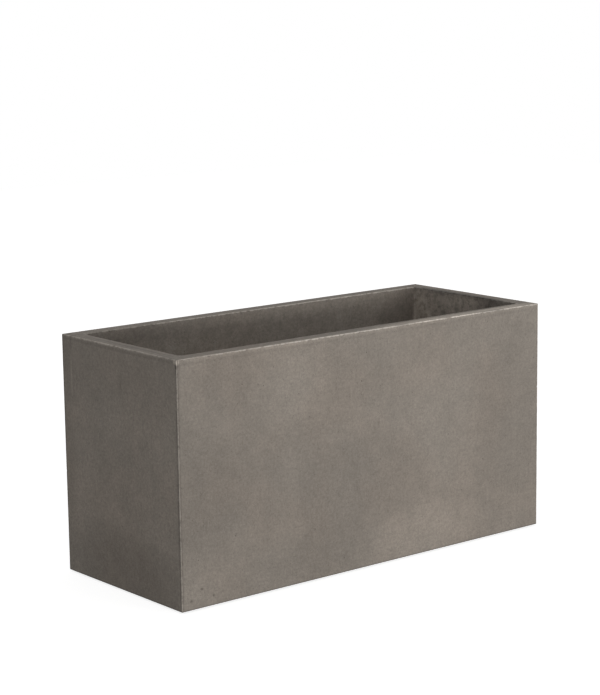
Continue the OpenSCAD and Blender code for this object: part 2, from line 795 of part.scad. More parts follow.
// Cap, closed on its seal
module fill_cap() {
    tongue_width = knuckle_length - 2;
    tab_thickness = cap_thickness - cap_edge;
    color(cap_colour) on_fill_axis() difference() {
        union() {
            rotate_extrude() polygon([
                [0, cap_bottom_z],
                [cap_r, cap_bottom_z],
                [cap_r, cap_top_z - cap_edge],
                [cap_r - cap_edge, cap_top_z],
                [cap_r - cap_dish_margin, cap_top_z],
                [cap_r - cap_dish_margin - cap_dish_depth, cap_top_z - cap_dish_depth],
                [0, cap_top_z - cap_dish_depth]
            ]);
            translate([0, 0, cap_bottom_z - plug_depth])
                tube(mouth_radius - plug_gap, mouth_radius - plug_gap - plug_wall, plug_depth + overcut);
            translate([hinge_x, -tongue_width / 2, cap_bottom_z])
                cube([hinge_reach + cap_edge, tongue_width, tab_thickness]);
            translate([hinge_x, 0, hinge_z]) rotate([90, 0, 0])
                cylinder(r = knuckle_r, h = knuckle_length, center = true);
            translate([cap_r - cap_edge, -thumb_width / 2, cap_bottom_z])
                cube([thumb_reach + cap_edge, thumb_width, tab_thickness]);
        }
        translate([hinge_x, 0, hinge_z]) rotate([90, 0, 0])
            cylinder(r = hinge_pin_diameter / 2 + knuckle_fit, h = 2 * knuckle_length, center = true);
    }
}

module cap_seal() {
    color(rubber_colour) translate([fill_x, fill_y, funnel_rim_z])
        tube(rim_r - seal_inset, mouth_radius - plug_gap / 2, cap_seal_thickness);
}

// Float gauge
module gauge_tube() {
    color(tube_colour) translate([gauge_x, gauge_y, 0]) difference() {
        union() {
            translate([0, 0, tube_bottom_z + gauge_foot_floor])
                cylinder(r = gauge_r, h = window_z - tube_bottom_z - gauge_foot_floor);
            translate([0, 0, bead_z]) cylinder(r = gauge_r + bead_width, h = bead_height);
        }
        translate([0, 0, tube_bottom_z])
            cylinder(r = gauge_bore_r, h = window_z - tube_bottom_z + overcut);
        for (turn = [0, 90]) rotate(turn)
            translate([-gauge_diameter, -gauge_slot_width / 2, gauge_slot_z])
                cube([2 * gauge_diameter, gauge_slot_width, gauge_slot_height]);
    }
}

module gauge_foot() {
    color(tube_colour) translate([gauge_x, gauge_y, tube_bottom_z]) difference() {
        cylinder(r = gauge_r + tube_fit + gauge_foot_wall, h = gauge_foot_cup);
        translate([0, 0, gauge_foot_floor]) cylinder(r = gauge_r + tube_fit, h = gauge_foot_cup);
        translate([0, 0, -overcut]) cylinder(r = gauge_foot_hole_r, h = gauge_foot_floor + 2 * overcut);
    }
}

module gauge_window() {
    spigot_r = gauge_bore_r - window_fit;
    color(clear_colour) translate([gauge_x, gauge_y, 0]) difference() {
        union() {
            translate([0, 0, window_z]) cylinder(r = gauge_r, h = window_top_z - window_z);
            translate([0, 0, window_z - window_spigot])
                cylinder(r = spigot_r, h = window_spigot + overcut);
        }
        translate([0, 0, window_z + gauge_guide])
            cylinder(r = gauge_r - window_wall, h = window_top_z - window_z);
        translate([0, 0, window_z - window_spigot - overcut])
            cylinder(r = spigot_r - window_wall, h = window_spigot + overcut);
        translate([0, 0, window_z - overcut])
            cylinder(r = rod_diameter / 2 + rod_guide_fit, h = gauge_guide + 2 * overcut);
    }
}

module gauge_rings() {
    empty_z = flag_z + flag_height / 2;
    color(ring_colour) for (z = [empty_z, empty_z + float_travel])
        translate([gauge_x, gauge_y, z - ring_height / 2])
            tube(gauge_r + tube_fit + ring_wall, gauge_r + tube_fit, ring_height);
}

module gauge_cap() {
    cap_outer_r = gauge_r + tube_fit + gauge_cap_wall;
    color(tube_colour) translate([gauge_x, gauge_y, 0]) difference() {
        rotate_extrude() polygon([
            [0, window_top_z - gauge_cap_skirt],
            [cap_outer_r, window_top_z - gauge_cap_skirt],
            [cap_outer_r, gauge_top_z - cap_edge],
            [cap_outer_r - cap_edge, gauge_top_z],
            [0, gauge_top_z]
        ]);
        translate([0, 0, window_top_z - gauge_cap_skirt - overcut])
            cylinder(r = gauge_r + tube_fit, h = gauge_cap_skirt + overcut);
    }
}

module gauge_float() {
    float_r = float_diameter / 2;
    color(float_colour) translate([gauge_x, gauge_y, float_z]) difference() {
        rotate_extrude() polygon([
            [0, 0],
            [float_r - float_edge, 0],
            [float_r, float_edge],
            [float_r, float_length - float_edge],
            [float_r - float_edge, float_length],
            [0, float_length]
        ]);
        translate([0, 0, float_length - rod_socket])
            cylinder(r = rod_diameter / 2 + rod_fit, h = rod_socket + overcut);
    }
}

module gauge_rod() {
    color(rod_colour) translate([gauge_x, gauge_y, rod_bottom_z])
        cylinder(d = rod_diameter, h = rod_top_z - rod_bottom_z);
}

module gauge_flag() {
    color(flag_colour) translate([gauge_x, gauge_y, flag_z]) difference() {
        rotate_extrude() polygon([
            [0, 0],
            [flag_diameter / 2, 0],
            [flag_diameter / 2, flag_height - cap_edge],
            [flag_diameter / 2 - cap_edge, flag_height],
            [0, flag_height]
        ]);
        translate([0, 0, -overcut]) cylinder(r = rod_diameter / 2 + rod_fit, h = rod_socket + overcut);
    }
}

planter_shell();
foot_pads();
reservoir_tank();
drain_fitting();
drain_gasket();
drain_washer();
drain_nut();
overflow_pipe();
overflow_seal();
overflow_strainer();
deck(-1);  // deck_left
deck(1);  // deck_right
deck_posts(-1);  // deck_posts_left
deck_posts(1);  // deck_posts_right
wick_cup(-1, 1);  // wick_cup_1
wick_cup(-1, 0);  // wick_cup_2
wick_cup(1, 0);  // wick_cup_3
wick_cup(1, 1);  // wick_cup_4
tube_base();
tube_clip();
fill_tube();
fill_funnel();
cap_hinge_pin();
fill_cap();
cap_seal();
gauge_tube();
gauge_foot();
gauge_window();
gauge_rings();
gauge_cap();
gauge_float();
gauge_rod();
gauge_flag();
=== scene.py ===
"""Looks of a self-watering trough planter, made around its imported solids.

The cast shell and the pads are modelled anew: the shell has worn arrises, air pits and rough inner walls. The
watering set keeps the shapes of its solids, with softened edges, and every piece gets a procedural finish.
Metres, +Z up, long front face towards -Y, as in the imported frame.
"""

import logging
import math
import random
from dataclasses import dataclass
from enum import Enum
from typing import Any, Iterable

import bmesh
import bpy
from mathutils import Matrix, Vector, kdtree, noise


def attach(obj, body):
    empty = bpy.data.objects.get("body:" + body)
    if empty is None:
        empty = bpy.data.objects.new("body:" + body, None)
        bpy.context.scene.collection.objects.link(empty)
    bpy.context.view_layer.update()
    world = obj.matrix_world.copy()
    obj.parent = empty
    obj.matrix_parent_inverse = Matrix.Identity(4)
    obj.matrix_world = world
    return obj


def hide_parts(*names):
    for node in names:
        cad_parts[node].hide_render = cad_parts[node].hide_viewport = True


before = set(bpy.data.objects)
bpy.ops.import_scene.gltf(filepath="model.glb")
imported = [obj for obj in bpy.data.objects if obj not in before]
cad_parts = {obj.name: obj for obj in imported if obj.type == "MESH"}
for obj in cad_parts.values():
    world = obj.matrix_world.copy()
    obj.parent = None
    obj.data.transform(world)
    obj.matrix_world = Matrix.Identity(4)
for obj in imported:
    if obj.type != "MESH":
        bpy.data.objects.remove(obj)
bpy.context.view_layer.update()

LOG = logging.getLogger("planter")
HOLLOW = "hollow"
SAME_PLACE = 2e-6
SLIVER = 4e-7
FLAT_ANGLE = math.radians(0.8)
SOFTENED_ANGLE = math.radians(34)
CREASE_ANGLE = math.radians(50)

Colour = tuple[float, float, float]
Point = tuple[float, float, float]
Pair = tuple[float, float]
Mesh = bmesh.types.BMesh
Loop = list[bmesh.types.BMEdge]

FEET: list[Pair] = [(end * 0.420, side * 0.130) for end in (-1, 1) for side in (-1, 1)]


class Body(Enum):
    """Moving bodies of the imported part."""

    PLANTER = "planter"
    OVERFLOW = "overflow"
    DECK_LEFT = "deck_left"
    DECK_RIGHT = "deck_right"
    FILL_CAP = "fill_cap"
    FLOAT = "float"


class Slot(Enum):
    """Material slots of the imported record."""

    CONCRETE = "concrete"
    TANK = "tank_plastic"
    DECK = "deck_plastic"
    TUBE = "tube_plastic"
    RUBBER = "rubber"
    CLEAR = "clear_plastic"
    WHITE = "white_plastic"
    FOAM = "float_foam"
    FLAG = "flag_plastic"
    STEEL = "pin_steel"


class Side(Enum):
    """The two decks, by the end of the trough that they fill."""

    LEFT = "left"
    RIGHT = "right"


class Face(Enum):
    """Faces of the shell that carry placed patches."""

    FRONT = "front"
    LEFT = "left"
    INNER_BACK = "inner_back"
    INNER_RIGHT = "inner_right"
    RIM_FRONT = "rim_front"
    RIM_LEFT = "rim_left"
    RIM_RIGHT = "rim_right"


Finishes = dict[Slot, bpy.types.Material]


# Shader trees


@dataclass(frozen=True)
class Term:
    """A value in a shader tree, combined with plain arithmetic."""

    graph: "Graph"
    socket: bpy.types.NodeSocket

    def __add__(self, other: "Operand") -> "Term":
        """Adds a value."""
        return self.graph.math("ADD", self, other)

    def __sub__(self, other: "Operand") -> "Term":
        """Takes a value away."""
        return self.graph.math("SUBTRACT", self, other)

    def __rsub__(self, other: "Operand") -> "Term":
        """Is taken away from a value."""
        return self.graph.math("SUBTRACT", other, self)

    def __mul__(self, other: "Operand") -> "Term":
        """Multiplies by a value."""
        return self.graph.math("MULTIPLY", self, other)

    def __abs__(self) -> "Term":
        """Drops the sign."""
        return self.graph.math("ABSOLUTE", self)

    __radd__ = __add__
    __rmul__ = __mul__


Operand = Term | float


class Graph:
    """Adds and wires the nodes of one shader tree."""

    def __init__(self, tree: bpy.types.NodeTree) -> None:
        """Keeps the tree and empties it."""
        self.tree = tree
        tree.nodes.clear()

    def node(self, kind: str, settings: dict[str, Any] | None = None, **inputs: Any) -> bpy.types.Node:
        """Adds one node.

        Args:
            kind: Node type without its ShaderNode prefix.
            settings: Attributes to set on the node.
            **inputs: Values or terms by input name, with _ for a space.

        Returns:
            The new node.
        """
        made = self.tree.nodes.new("ShaderNode" + kind)
        for key, value in (settings or {}).items():
            setattr(made, key, value)
        self.wire(made, inputs)
        return made

    def wire(self, node: bpy.types.Node, inputs: dict[str, Any]) -> None:
        """Feeds inputs of a node by name, with _ for a space."""
        for key, value in inputs.items():
            self.feed(node.inputs[key.replace("_", " ")], value)

    def feed(self, socket: bpy.types.NodeSocket, value: Any) -> None:
        """Links a term to a socket, or sets a plain value on it."""
        if isinstance(value, Term):
            self.tree.links.new(value.socket, socket)
        else:
            socket.default_value = value

    def term(self, node: bpy.types.Node, output: str | int = 0) -> Term:
        """Wraps one output of a node."""
        return Term(self, node.outputs[output])

    def math(self, operation: str, *values: Operand) -> Term:
        """Combines values with one Math node."""
        made = self.node("Math", {"operation": operation})
        for socket, value in zip(made.inputs, values):
            self.feed(socket, value)
        return self.term(made)

    def least(self, first: Operand, second: Operand) -> Term:
        """Gives the smaller of two values."""
        return self.math("MINIMUM", first, second)

    def most(self, first: Operand, second: Operand) -> Term:
        """Gives the larger of two values."""
        return self.math("MAXIMUM", first, second)

    def rise(
        self, value: Operand, start: Operand, stop: Operand, low: float = 0.0, high: float = 1.0
    ) -> Term:
        """Maps a value smoothly from one span to another.

        Args:
            value: What is mapped.
            start: Value that gives low.
            stop: Value that gives high.
            low: Result at start and beyond.
            high: Result at stop and beyond.

        Returns:
            The mapped value.
        """
        span = {"From_Min": start, "From_Max": stop, "To_Min": low, "To_Max": high}
        return self.term(self.node("MapRange", {"interpolation_type": "SMOOTHSTEP"}, Value=value, **span))

    def band(self, value: Term, outer: Pair, inner: Pair) -> Term:
        """Gives 1 between two spans of a value, and fades to 0 across each."""
        return self.rise(value, *outer) * self.rise(value, *inner)

    def place(self) -> Term:
        """Gives the Object coordinates."""
        return self.term(self.node("TexCoord"), "Object")

    def axes(self, vector: Term) -> tuple[Term, Term, Term]:
        """Splits a vector into x, y and z."""
        made = self.node("SeparateXYZ", Vector=vector)
        return self.term(made, 0), self.term(made, 1), self.term(made, 2)

    def stretched(self, vector: Term, scale: Point) -> Term:
        """Scales a vector by axis."""
        return self.term(self.node("Mapping", Vector=vector, Scale=scale))

    def noise(self, vector: Term, scale: Operand, detail: float = 2.0, roughness: float = 0.5) -> Term:
        """Gives a noise value of about 0.5."""
        made = self.node("TexNoise", Vector=vector, Scale=scale, Detail=detail, Roughness=roughness)
        return self.term(made, 0)

    def cells(self, vector: Term, scale: Operand) -> tuple[Term, Term]:
        """Gives the distance to the nearest cell point and a random number of that cell."""
        made = self.node("TexVoronoi", Vector=vector, Scale=scale)
        return self.term(made, "Distance"), self.axes(self.term(made, "Color"))[0]

    def mix(self, share: Operand, first: Any, second: Any) -> Term:
        """Mixes two colours.

        Args:
            share: Share of the second colour.
            first: Colour or term at a share of 0.
            second: Colour or term at a share of 1.

        Returns:
            The mixed colour.
        """
        made = self.node("Mix", {"data_type": "RGBA"})
        for index, value in ((0, share), (6, first), (7, second)):
            is_colour = isinstance(value, tuple)
            self.feed(made.inputs[index], (*value, 1.0) if is_colour else value)
        return self.term(made, 2)

    def shade(self, colour: Term, tone: Operand) -> Term:
        """Multiplies a colour by one number."""
        made = self.node("VectorMath", {"operation": "SCALE"})
        self.feed(made.inputs[0], colour)
        self.feed(made.inputs["Scale"], tone)
        return self.term(made)

    def bump(self, height: Term, depth: float) -> Term:
        """Turns a height into a normal."""
        return self.term(self.node("Bump", Height=height, Distance=depth, Strength=1.0))

    def group(self, tree: bpy.types.NodeTree, **inputs: Any) -> Term:
        """Places a shared effect and gives its first output."""
        return self.term(self.node("Group", {"node_tree": tree}, **inputs))


# Effects that several finishes share


@dataclass(frozen=True)
class Effects:
    """Node groups that are built once and placed in each material with its own values."""

    mottle: bpy.types.NodeTree
    pinholes: bpy.types.NodeTree
    scuffs: bpy.types.NodeTree
    dust: bpy.types.NodeTree

    @classmethod
    def build(cls) -> "Effects":
        """Builds every shared group."""
        return cls(cls._mottle(), cls._pinholes(), cls._scuffs(), cls._dust())

    @staticmethod
    def _start(
        name: str, numbers: dict[str, float], output: str
    ) -> tuple[Graph, dict[str, Term], bpy.types.Node]:
        """Starts a group.

        Args:
            name: Name of the group.
            numbers: Number inputs with their defaults. A Vector input is always there.
            output: Name of the one output.

        Returns:
            The graph, its inputs by name and the output node.
        """
        tree = bpy.data.node_groups.new(name, "ShaderNodeTree")
        graph = Graph(tree)
        tree.interface.new_socket("Vector", in_out="INPUT", socket_type="NodeSocketVector")
        for key, value in numbers.items():
            socket = tree.interface.new_socket(key, in_out="INPUT", socket_type="NodeSocketFloat")
            socket.default_value = value
        tree.interface.new_socket(output, in_out="OUTPUT", socket_type="NodeSocketFloat")
        start = tree.nodes.new("NodeGroupInput")
        terms = {key: graph.term(start, key) for key in ("Vector", *numbers)}
        return graph, terms, tree.nodes.new("NodeGroupOutput")

    @classmethod
    def _mottle(cls) -> bpy.types.NodeTree:
        """Builds soft cloudy tone of about 1."""
        graph, given, end = cls._start("mottle", {"Scale": 10.0, "Contrast": 0.2}, "Tone")
        broad = graph.noise(given["Vector"], given["Scale"], 4.0, 0.55) - 0.5
        small = graph.noise(given["Vector"], given["Scale"] * 4.3, 3.0, 0.6) - 0.5
        graph.feed(end.inputs[0], (broad + small * 0.55) * given["Contrast"] + 1.0)
        return graph.tree

    @classmethod
    def _pinholes(cls) -> bpy.types.NodeTree:
        """Builds a mask of small round holes."""
        names = {"Scale": 80.0, "Share": 0.4, "Radius": 0.1}
        graph, given, end = cls._start("pinholes", names, "Holes")
        distance, lot = graph.cells(given["Vector"], given["Scale"])
        chosen = graph.math("LESS_THAN", lot, given["Share"])
        radius = given["Radius"] * (graph.noise(given["Vector"], given["Scale"] * 0.7) * 1.6 + 0.2)
        near = graph.rise(distance, radius * 1.25, radius * 0.55)
        graph.feed(end.inputs[0], near * chosen)
        return graph.tree

    @classmethod
    def _scuffs(cls) -> bpy.types.NodeTree:
        """Builds a mask of fine rubbed streaks in two directions."""
        graph, given, end = cls._start("scuffs", {"Scale": 60.0, "Amount": 0.5}, "Marks")
        one = graph.noise(graph.stretched(given["Vector"], (1.0, 0.06, 1.0)), given["Scale"], 3.0, 0.6)
        two = graph.noise(graph.stretched(given["Vector"], (0.08, 1.0, 0.5)), given["Scale"], 3.0, 0.6)
        where = graph.rise(graph.noise(given["Vector"], 14.0), 0.42, 0.66)
        marks = graph.most(graph.rise(one, 0.60, 0.72), graph.rise(two, 0.61, 0.74))
        graph.feed(end.inputs[0], marks * where * given["Amount"])
        return graph.tree

    @classmethod
    def _dust(cls) -> bpy.types.NodeTree:
        """Builds a mask of dust on what faces up."""
        graph, given, end = cls._start("dust", {"Facing": 0.0, "Amount": 0.3}, "Cover")
        level = graph.rise(given["Facing"], 0.35, 0.95)
        patch = graph.rise(graph.noise(given["Vector"], 38.0, 5.0, 0.65), 0.36, 0.70)
        specks = graph.rise(graph.noise(given["Vector"], 900.0, 1.0), 0.52, 0.70)
        graph.feed(end.inputs[0], level * (patch * 0.7 + specks * 0.5) * given["Amount"])
        return graph.tree


# Finishes


class Surface(Graph):
    """Shader tree of a new material with one Principled shader."""

    def __init__(self, name: str) -> None:
        """Starts the material.

        Args:
            name: Name of the material.
        """
        self.made = bpy.data.materials.new(name)
        self.made.use_nodes = True
        super().__init__(self.made.node_tree)
        self.shader = self.node("BsdfPrincipled")
        self.feed(self.node("OutputMaterial").inputs["Surface"], self.term(self.shader))

    def dressed(self, **inputs: Any) -> bpy.types.Material:
        """Feeds inputs of the shader, with _ for a space, and gives the material."""
        self.wire(self.shader, inputs)
        return self.made


@dataclass(frozen=True)
class Patch:
    """A soft lighter or darker patch on one face of the shell.

    Across is the place along the face's long side. Up is the height on a wall, and the place across the
    wall's thickness on the rim.
    """

    across: float
    up: float
    reach_across: float
    reach_up: float
    tone: float


# Patches of each face
PATCHES: dict[Face, tuple[Patch, ...]] = {
    Face.FRONT: (
        Patch(-0.330, 0.430, 0.170, 0.090, -0.060),
        Patch(-0.460, 0.230, 0.150, 0.200, -0.130),
        Patch(-0.210, 0.430, 0.120, 0.140, 0.110),
        Patch(-0.270, 0.240, 0.170, 0.180, -0.050),
        Patch(-0.020, 0.190, 0.210, 0.140, -0.090),
        Patch(0.170, 0.320, 0.160, 0.180, 0.040),
        Patch(0.440, 0.220, 0.180, 0.280, -0.110),
        Patch(0.160, 0.050, 0.180, 0.080, 0.130),
        Patch(-0.130, 0.060, 0.150, 0.090, -0.110),
        Patch(-0.450, 0.050, 0.100, 0.090, 0.110),
        # Painted shadow under a small lip of the top arris
        Patch(0.175, 0.4955, 0.014, 0.0022, -0.160),
        Patch(0.000, 0.5015, 0.800, 0.0060, 0.130),
        # Painted shade in a line under the top arris
        Patch(-0.260, 0.4930, 0.360, 0.0038, -0.080),
        Patch(0.250, 0.4930, 0.360, 0.0038, -0.070),
        # Painted highlight at the top of the left upright arris
        Patch(-0.4875, 0.4985, 0.0055, 0.0065, 0.900),
    ),
    Face.LEFT: (
        Patch(0.000, 0.250, 0.180, 0.130, -0.060),
        Patch(0.000, 0.455, 0.500, 0.115, -0.125),
        # Painted shade in a line under the top arris
        Patch(0.000, 0.4965, 0.320, 0.0042, -0.130),
        Patch(-0.1975, 0.4900, 0.0030, 0.0060, -0.450),
        Patch(0.000, 0.040, 0.260, 0.120, -0.250),
        Patch(0.200, 0.300, 0.060, 0.400, -0.130),
    ),
    Face.INNER_BACK: (
        Patch(-0.400, 0.492, 0.200, 0.030, -0.180),
        Patch(0.000, 0.420, 0.900, 0.075, 0.260),
        Patch(0.240, 0.486, 0.300, 0.032, 0.240),
        Patch(0.400, 0.440, 0.080, 0.034, -0.200),
    ),
    Face.INNER_RIGHT: (
        # Painted bounce light near the back corner
        Patch(0.150, 0.450, 0.055, 0.060, 0.550),
        Patch(0.020, 0.450, 0.160, 0.060, 0.160),
        # Painted shade in a band under the rim, and on the upper wall towards the front
        Patch(0.040, 0.503, 0.180, 0.012, -0.160),
        Patch(-0.110, 0.470, 0.100, 0.080, -0.380),
    ),
    Face.RIM_FRONT: (
        Patch(0.260, -0.189, 0.300, 0.017, 0.750),
        Patch(0.440, -0.184, 0.160, 0.016, 0.400),
        # Painted shadows under small lips along the outer arris
        Patch(0.347, -0.1988, 0.060, 0.0042, -0.600),
        Patch(0.215, -0.1988, 0.018, 0.0042, -0.500),
        Patch(0.090, -0.1988, 0.030, 0.0042, -0.400),
    ),
    Face.RIM_LEFT: (
        Patch(-0.020, -0.473, 0.200, 0.0070, -0.220),
        Patch(0.040, -0.4885, 0.250, 0.0045, 0.220),
    ),
    Face.RIM_RIGHT: (
        # Painted shade along the inner arris
        Patch(0.040, 0.460, 0.200, 0.0110, -0.500),
    ),
}


@dataclass(frozen=True)
class Concrete:
    """Cast fibre cement: cloudy, speckled, pinholed, with pale worn arrises and blotched inner walls, painted
    shade in its pits, beside its upright arrises and at its foot, and placed patches, some of them painted
    light and shade.
    """

    effects: Effects
    half_length: float
    half_width: float
    inner_half_length: float
    inner_half_width: float
    base: float
    top: float
    colour: Colour = (0.2142, 0.1896, 0.1628)
    warm: Colour = (0.2176, 0.1886, 0.1600)
    pale: Colour = (0.4300, 0.3920, 0.3460)
    dark: Colour = (0.0700, 0.0600, 0.0510)
    fray: float = 0.0070
    relief: float = 0.0010
    face_fade: Pair = (0.012, 0.004)
    inner_fade: Pair = (-0.0035, -0.0005)
    wear_reach: Pair = (0.0030, 0.0008)
    nick_band: tuple[Pair, Pair] = ((0.0050, 0.0030), (0.0012, 0.0024))
    # Span of the painted shade beside the upright arrises
    corner_shade_band: tuple[Pair, Pair] = ((0.0062, 0.0034), (0.0014, 0.0026))

    def material(self) -> bpy.types.Material:
        """Builds the material.

        Returns:
            The concrete's material.
        """
        graph = Surface("cast_concrete")
        where = graph.place()
        x, y, z = graph.axes(where)
        to_end, to_side = self.half_length - abs(x), self.half_width - abs(y)
        to_top, to_base = self.top - z, z - self.base
        to_outside = graph.least(to_end, to_side)
        past_inner = graph.least(self.inner_half_length - abs(x), self.inner_half_width - abs(y))
        inside = graph.rise(past_inner, *self.inner_fade)

        # Distances to the upright arrises, to the rim's two arrises and to the foot
        corner = graph.most(to_end, to_side)
        rim_outside = graph.most(to_outside, to_top)
        rim_inside = graph.most(abs(past_inner), to_top)
        foot = graph.most(to_outside, to_base)
        arris = graph.least(graph.least(corner, rim_outside), rim_inside)

        # Tone of the cast faces, from clouds down to grains
        holes = graph.group(self.effects.pinholes, Vector=where, Scale=78.0, Share=0.16, Radius=0.100)
        specks = graph.group(self.effects.pinholes, Vector=where, Scale=190.0, Share=0.5, Radius=0.20)
        lumps = graph.noise(where, 46.0, 2.0, 0.6) - 0.5
        speckle = graph.noise(where, 165.0, 2.0, 0.6) - 0.5
        grain = graph.noise(where, 330.0, 2.0, 0.6) - 0.5
        fine = graph.noise(where, 900.0, 1.0) - 0.5
        trowel = graph.noise(graph.stretched(where, (1.0, 1.0, 0.18)), 210.0, 2.0)
        trowel = trowel + graph.noise(graph.stretched(where, (0.18, 0.18, 1.0)), 210.0, 2.0) - 1.0
        texture = lumps * 0.22 + speckle * 0.55 + grain * 0.25 + fine * 0.10 + trowel * 0.10
        tone = graph.group(self.effects.mottle, Vector=where, Scale=3.1, Contrast=0.20)
        tone = tone * graph.group(self.effects.mottle, Vector=where, Scale=21.0, Contrast=0.23)
        streaks = graph.noise(graph.stretched(where, (1.0, 1.0, 0.07)), 46.0, 3.0, 0.6) - 0.5
        tone = tone * (texture + streaks * 0.10 + 1.0)
        blotch = self._blotches(graph, where, x)
        tone = tone * (inside * blotch + 1.0)
        warmth = graph.rise(graph.noise(where, 5.3, 3.0), 0.35, 0.68)
        colour = graph.shade(graph.mix(warmth, self.colour, self.warm), tone)

        # Pale wear on the arrises, weaker at the left end
        ragged = graph.noise(where, 105.0, 4.0, 0.65)
        frayed = arris + (0.5 - ragged) * self.fray
        worn = graph.rise(frayed, *self.wear_reach) * graph.rise(ragged, 0.32, 0.56, 0.30, 1.0)
        worn = worn * graph.rise(x, -0.46, -0.20, 0.55, 1.0)
        rubbed = graph.mix(worn * 0.90, colour, self.pale)
        # Placed patches, some of them painted light and shade
        colour = graph.shade(rubbed, self._patch_tone(graph, x, y, z) + 1.0)

        # Dark pinholes and nicks, and painted shade in the pressed-in pits and knocks, beside the upright
        # arrises and at the foot
        dashes = graph.noise(graph.stretched(where, (0.16, 0.16, 0.16)), 900.0, 2.0)
        nicks = graph.band(arris, *self.nick_band) * graph.rise(dashes, 0.52, 0.66)
        # Painted shade beside the upright arrises, strongest on the left end
        corner_shade = graph.band(corner, *self.corner_shade_band)
        corner_shade = corner_shade * graph.rise(x, 0.006 - self.half_length, 0.002 - self.half_length, 0.14, 0.66)
        corner_shade = corner_shade * graph.rise(graph.noise(where, 60.0, 3.0, 0.6), 0.36, 0.58, 0.30, 1.0)
        # Painted shade along the foot
        foot_shade = graph.rise(foot, *self.wear_reach)
        # Painted shade in the pressed-in pits and knocks, from the mesh's dent mask
        pits = graph.term(graph.node("Attribute", {"attribute_name": HOLLOW}), "Fac")
        hollow = graph.most(graph.most(holes * 0.48, specks * 0.24), pits * 0.55)
        # Nicks joined with the painted shade beside the upright arrises and at the foot
        stain_and_shade = graph.most(graph.most(nicks * 0.34, corner_shade), foot_shade * 0.62)
        colour = graph.mix(graph.most(hollow, stain_and_shade), colour, self.dark)

        height = speckle * 0.22 + grain * 0.26 + fine * 0.14 - holes - specks * 0.35 - nicks * 0.3
        height = height + inside * blotch * 0.8
        return graph.dressed(
            Base_Color=colour,
            Roughness=0.88 - worn * 0.12 - grain * 0.10,
            Normal=graph.bump(height, self.relief),
            Specular_IOR_Level=0.28,
        )

    def _blotches(self, graph: Graph, where: Term, x: Term) -> Term:
        """Gives the change of tone on the inner walls: level bands, and damp blotches at both ends.

        Args:
            graph: Graph of the material.
            where: Object coordinates.
            x: Place along the length.

        Returns:
            The change of tone, about 0.
        """
        bands = graph.noise(graph.stretched(where, (0.22, 0.22, 1.0)), 16.0, 3.0) - 0.5
        soft = graph.noise(where, 30.0, 3.0, 0.6) - 0.5
        damp = graph.rise(graph.noise(where, 84.0, 3.0, 0.6), 0.42, 0.70, 0.12, -0.28)
        at_ends = graph.rise(abs(x), self.inner_half_length - 0.006, self.inner_half_length - 0.001)
        return bands * 0.50 + soft * 0.40 + damp * at_ends

    def _patch_tone(self, graph: Graph, x: Term, y: Term, z: Term) -> Term:
        """Adds up the placed patches, some of which are painted light and shade.

        Args:
            graph: Graph of the material.
            x: Place along the length.
            y: Place across the width.
            z: Height.

        Returns:
            The change of tone, about 0.
        """
        off, on = self.face_fade
        rim = graph.rise(z, self.top - on, self.top - on / 4)
        shown = {
            Face.FRONT: (x, z, graph.rise(y, off - self.half_width, on - self.half_width)),
            Face.LEFT: (y, z, graph.rise(x, off - self.half_length, on - self.half_length)),
            Face.INNER_BACK: (x, z, graph.rise(abs(y - self.inner_half_width), on, on / 2)),
            Face.INNER_RIGHT: (y, z, graph.rise(abs(x - self.inner_half_length), on, on / 2)),
            Face.RIM_FRONT: (x, y, rim),
            Face.RIM_LEFT: (y, x, rim),
            Face.RIM_RIGHT: (y, x, rim),
        }
        total: Operand = 0.0
        for face, patches in PATCHES.items():
            along, upward, on_face = shown[face]
            for patch in patches:
                off_across = (along - patch.across) * (1.0 / patch.reach_across)
                off_up = (upward - patch.up) * (1.0 / patch.reach_up)
                away = off_across * off_across + off_up * off_up
                total = graph.rise(away, 1.0, 0.0, 0.0, patch.tone) * on_face + total
        return total


@dataclass(frozen=True)
class MouldedPlastic:
    """Injection-moulded plastic: fine spark texture, rubbed streaks and dust where it faces up."""

    name: str
    effects: Effects
    colour: Colour
    dust_colour: Colour = (0.150, 0.136, 0.118)
    roughness: float = 0.46
    scuff: float = 0.5
    dust: float = 0.45
    rub_gain: float = 1.9
    rub_lift: float = 0.02
    relief: float = 0.00012

    def material(self) -> bpy.types.Material:
        """Builds the material.

        Returns:
            The plastic's material.
        """
        graph = Surface(self.name)
        where = graph.place()
        facing = graph.axes(graph.term(graph.node("TexCoord"), "Normal"))[2]
        tone = graph.group(self.effects.mottle, Vector=where, Scale=16.0, Contrast=0.34)
        scuffs = graph.group(self.effects.scuffs, Vector=where, Scale=70.0, Amount=self.scuff)
        cover = graph.group(self.effects.dust, Vector=where, Facing=facing, Amount=self.dust)
        grain = graph.noise(where, 1700.0, 2.0, 0.6)
        rubbed = tuple(part * self.rub_gain + self.rub_lift for part in self.colour)
        plain = graph.shade(graph.mix(scuffs, self.colour, rubbed), tone)
        return graph.dressed(
            Base_Color=graph.mix(cover, plain, self.dust_colour),
            Roughness=(grain - 0.5) * 0.16 + scuffs * 0.18 + cover * 0.42 + self.roughness,
            Normal=graph.bump(grain + scuffs * -0.4, self.relief),
        )


@dataclass(frozen=True)
class Rubber:
    """Moulded rubber: dull, with a bloom and fine pores."""

    effects: Effects
    colour: Colour = (0.018, 0.018, 0.019)
    bloom: Colour = (0.070, 0.067, 0.062)
    relief: float = 0.00015

    def material(self) -> bpy.types.Material:
        """Builds the material.

        Returns:
            The rubber's material.
        """
        graph = Surface("moulded_rubber")
        where = graph.place()
        tone = graph.group(self.effects.mottle, Vector=where, Scale=55.0, Contrast=0.5)
        pores = graph.group(self.effects.pinholes, Vector=where, Scale=650.0, Share=0.5, Radius=0.2)
        haze = graph.rise(graph.noise(where, 48.0, 4.0, 0.6), 0.42, 0.74)
        return graph.dressed(
            Base_Color=graph.shade(graph.mix(haze * 0.5, self.colour, self.bloom), tone),
            Roughness=haze * 0.14 + 0.74,
            Normal=graph.bump(pores * -1.0 + haze * 0.2, self.relief),
        )


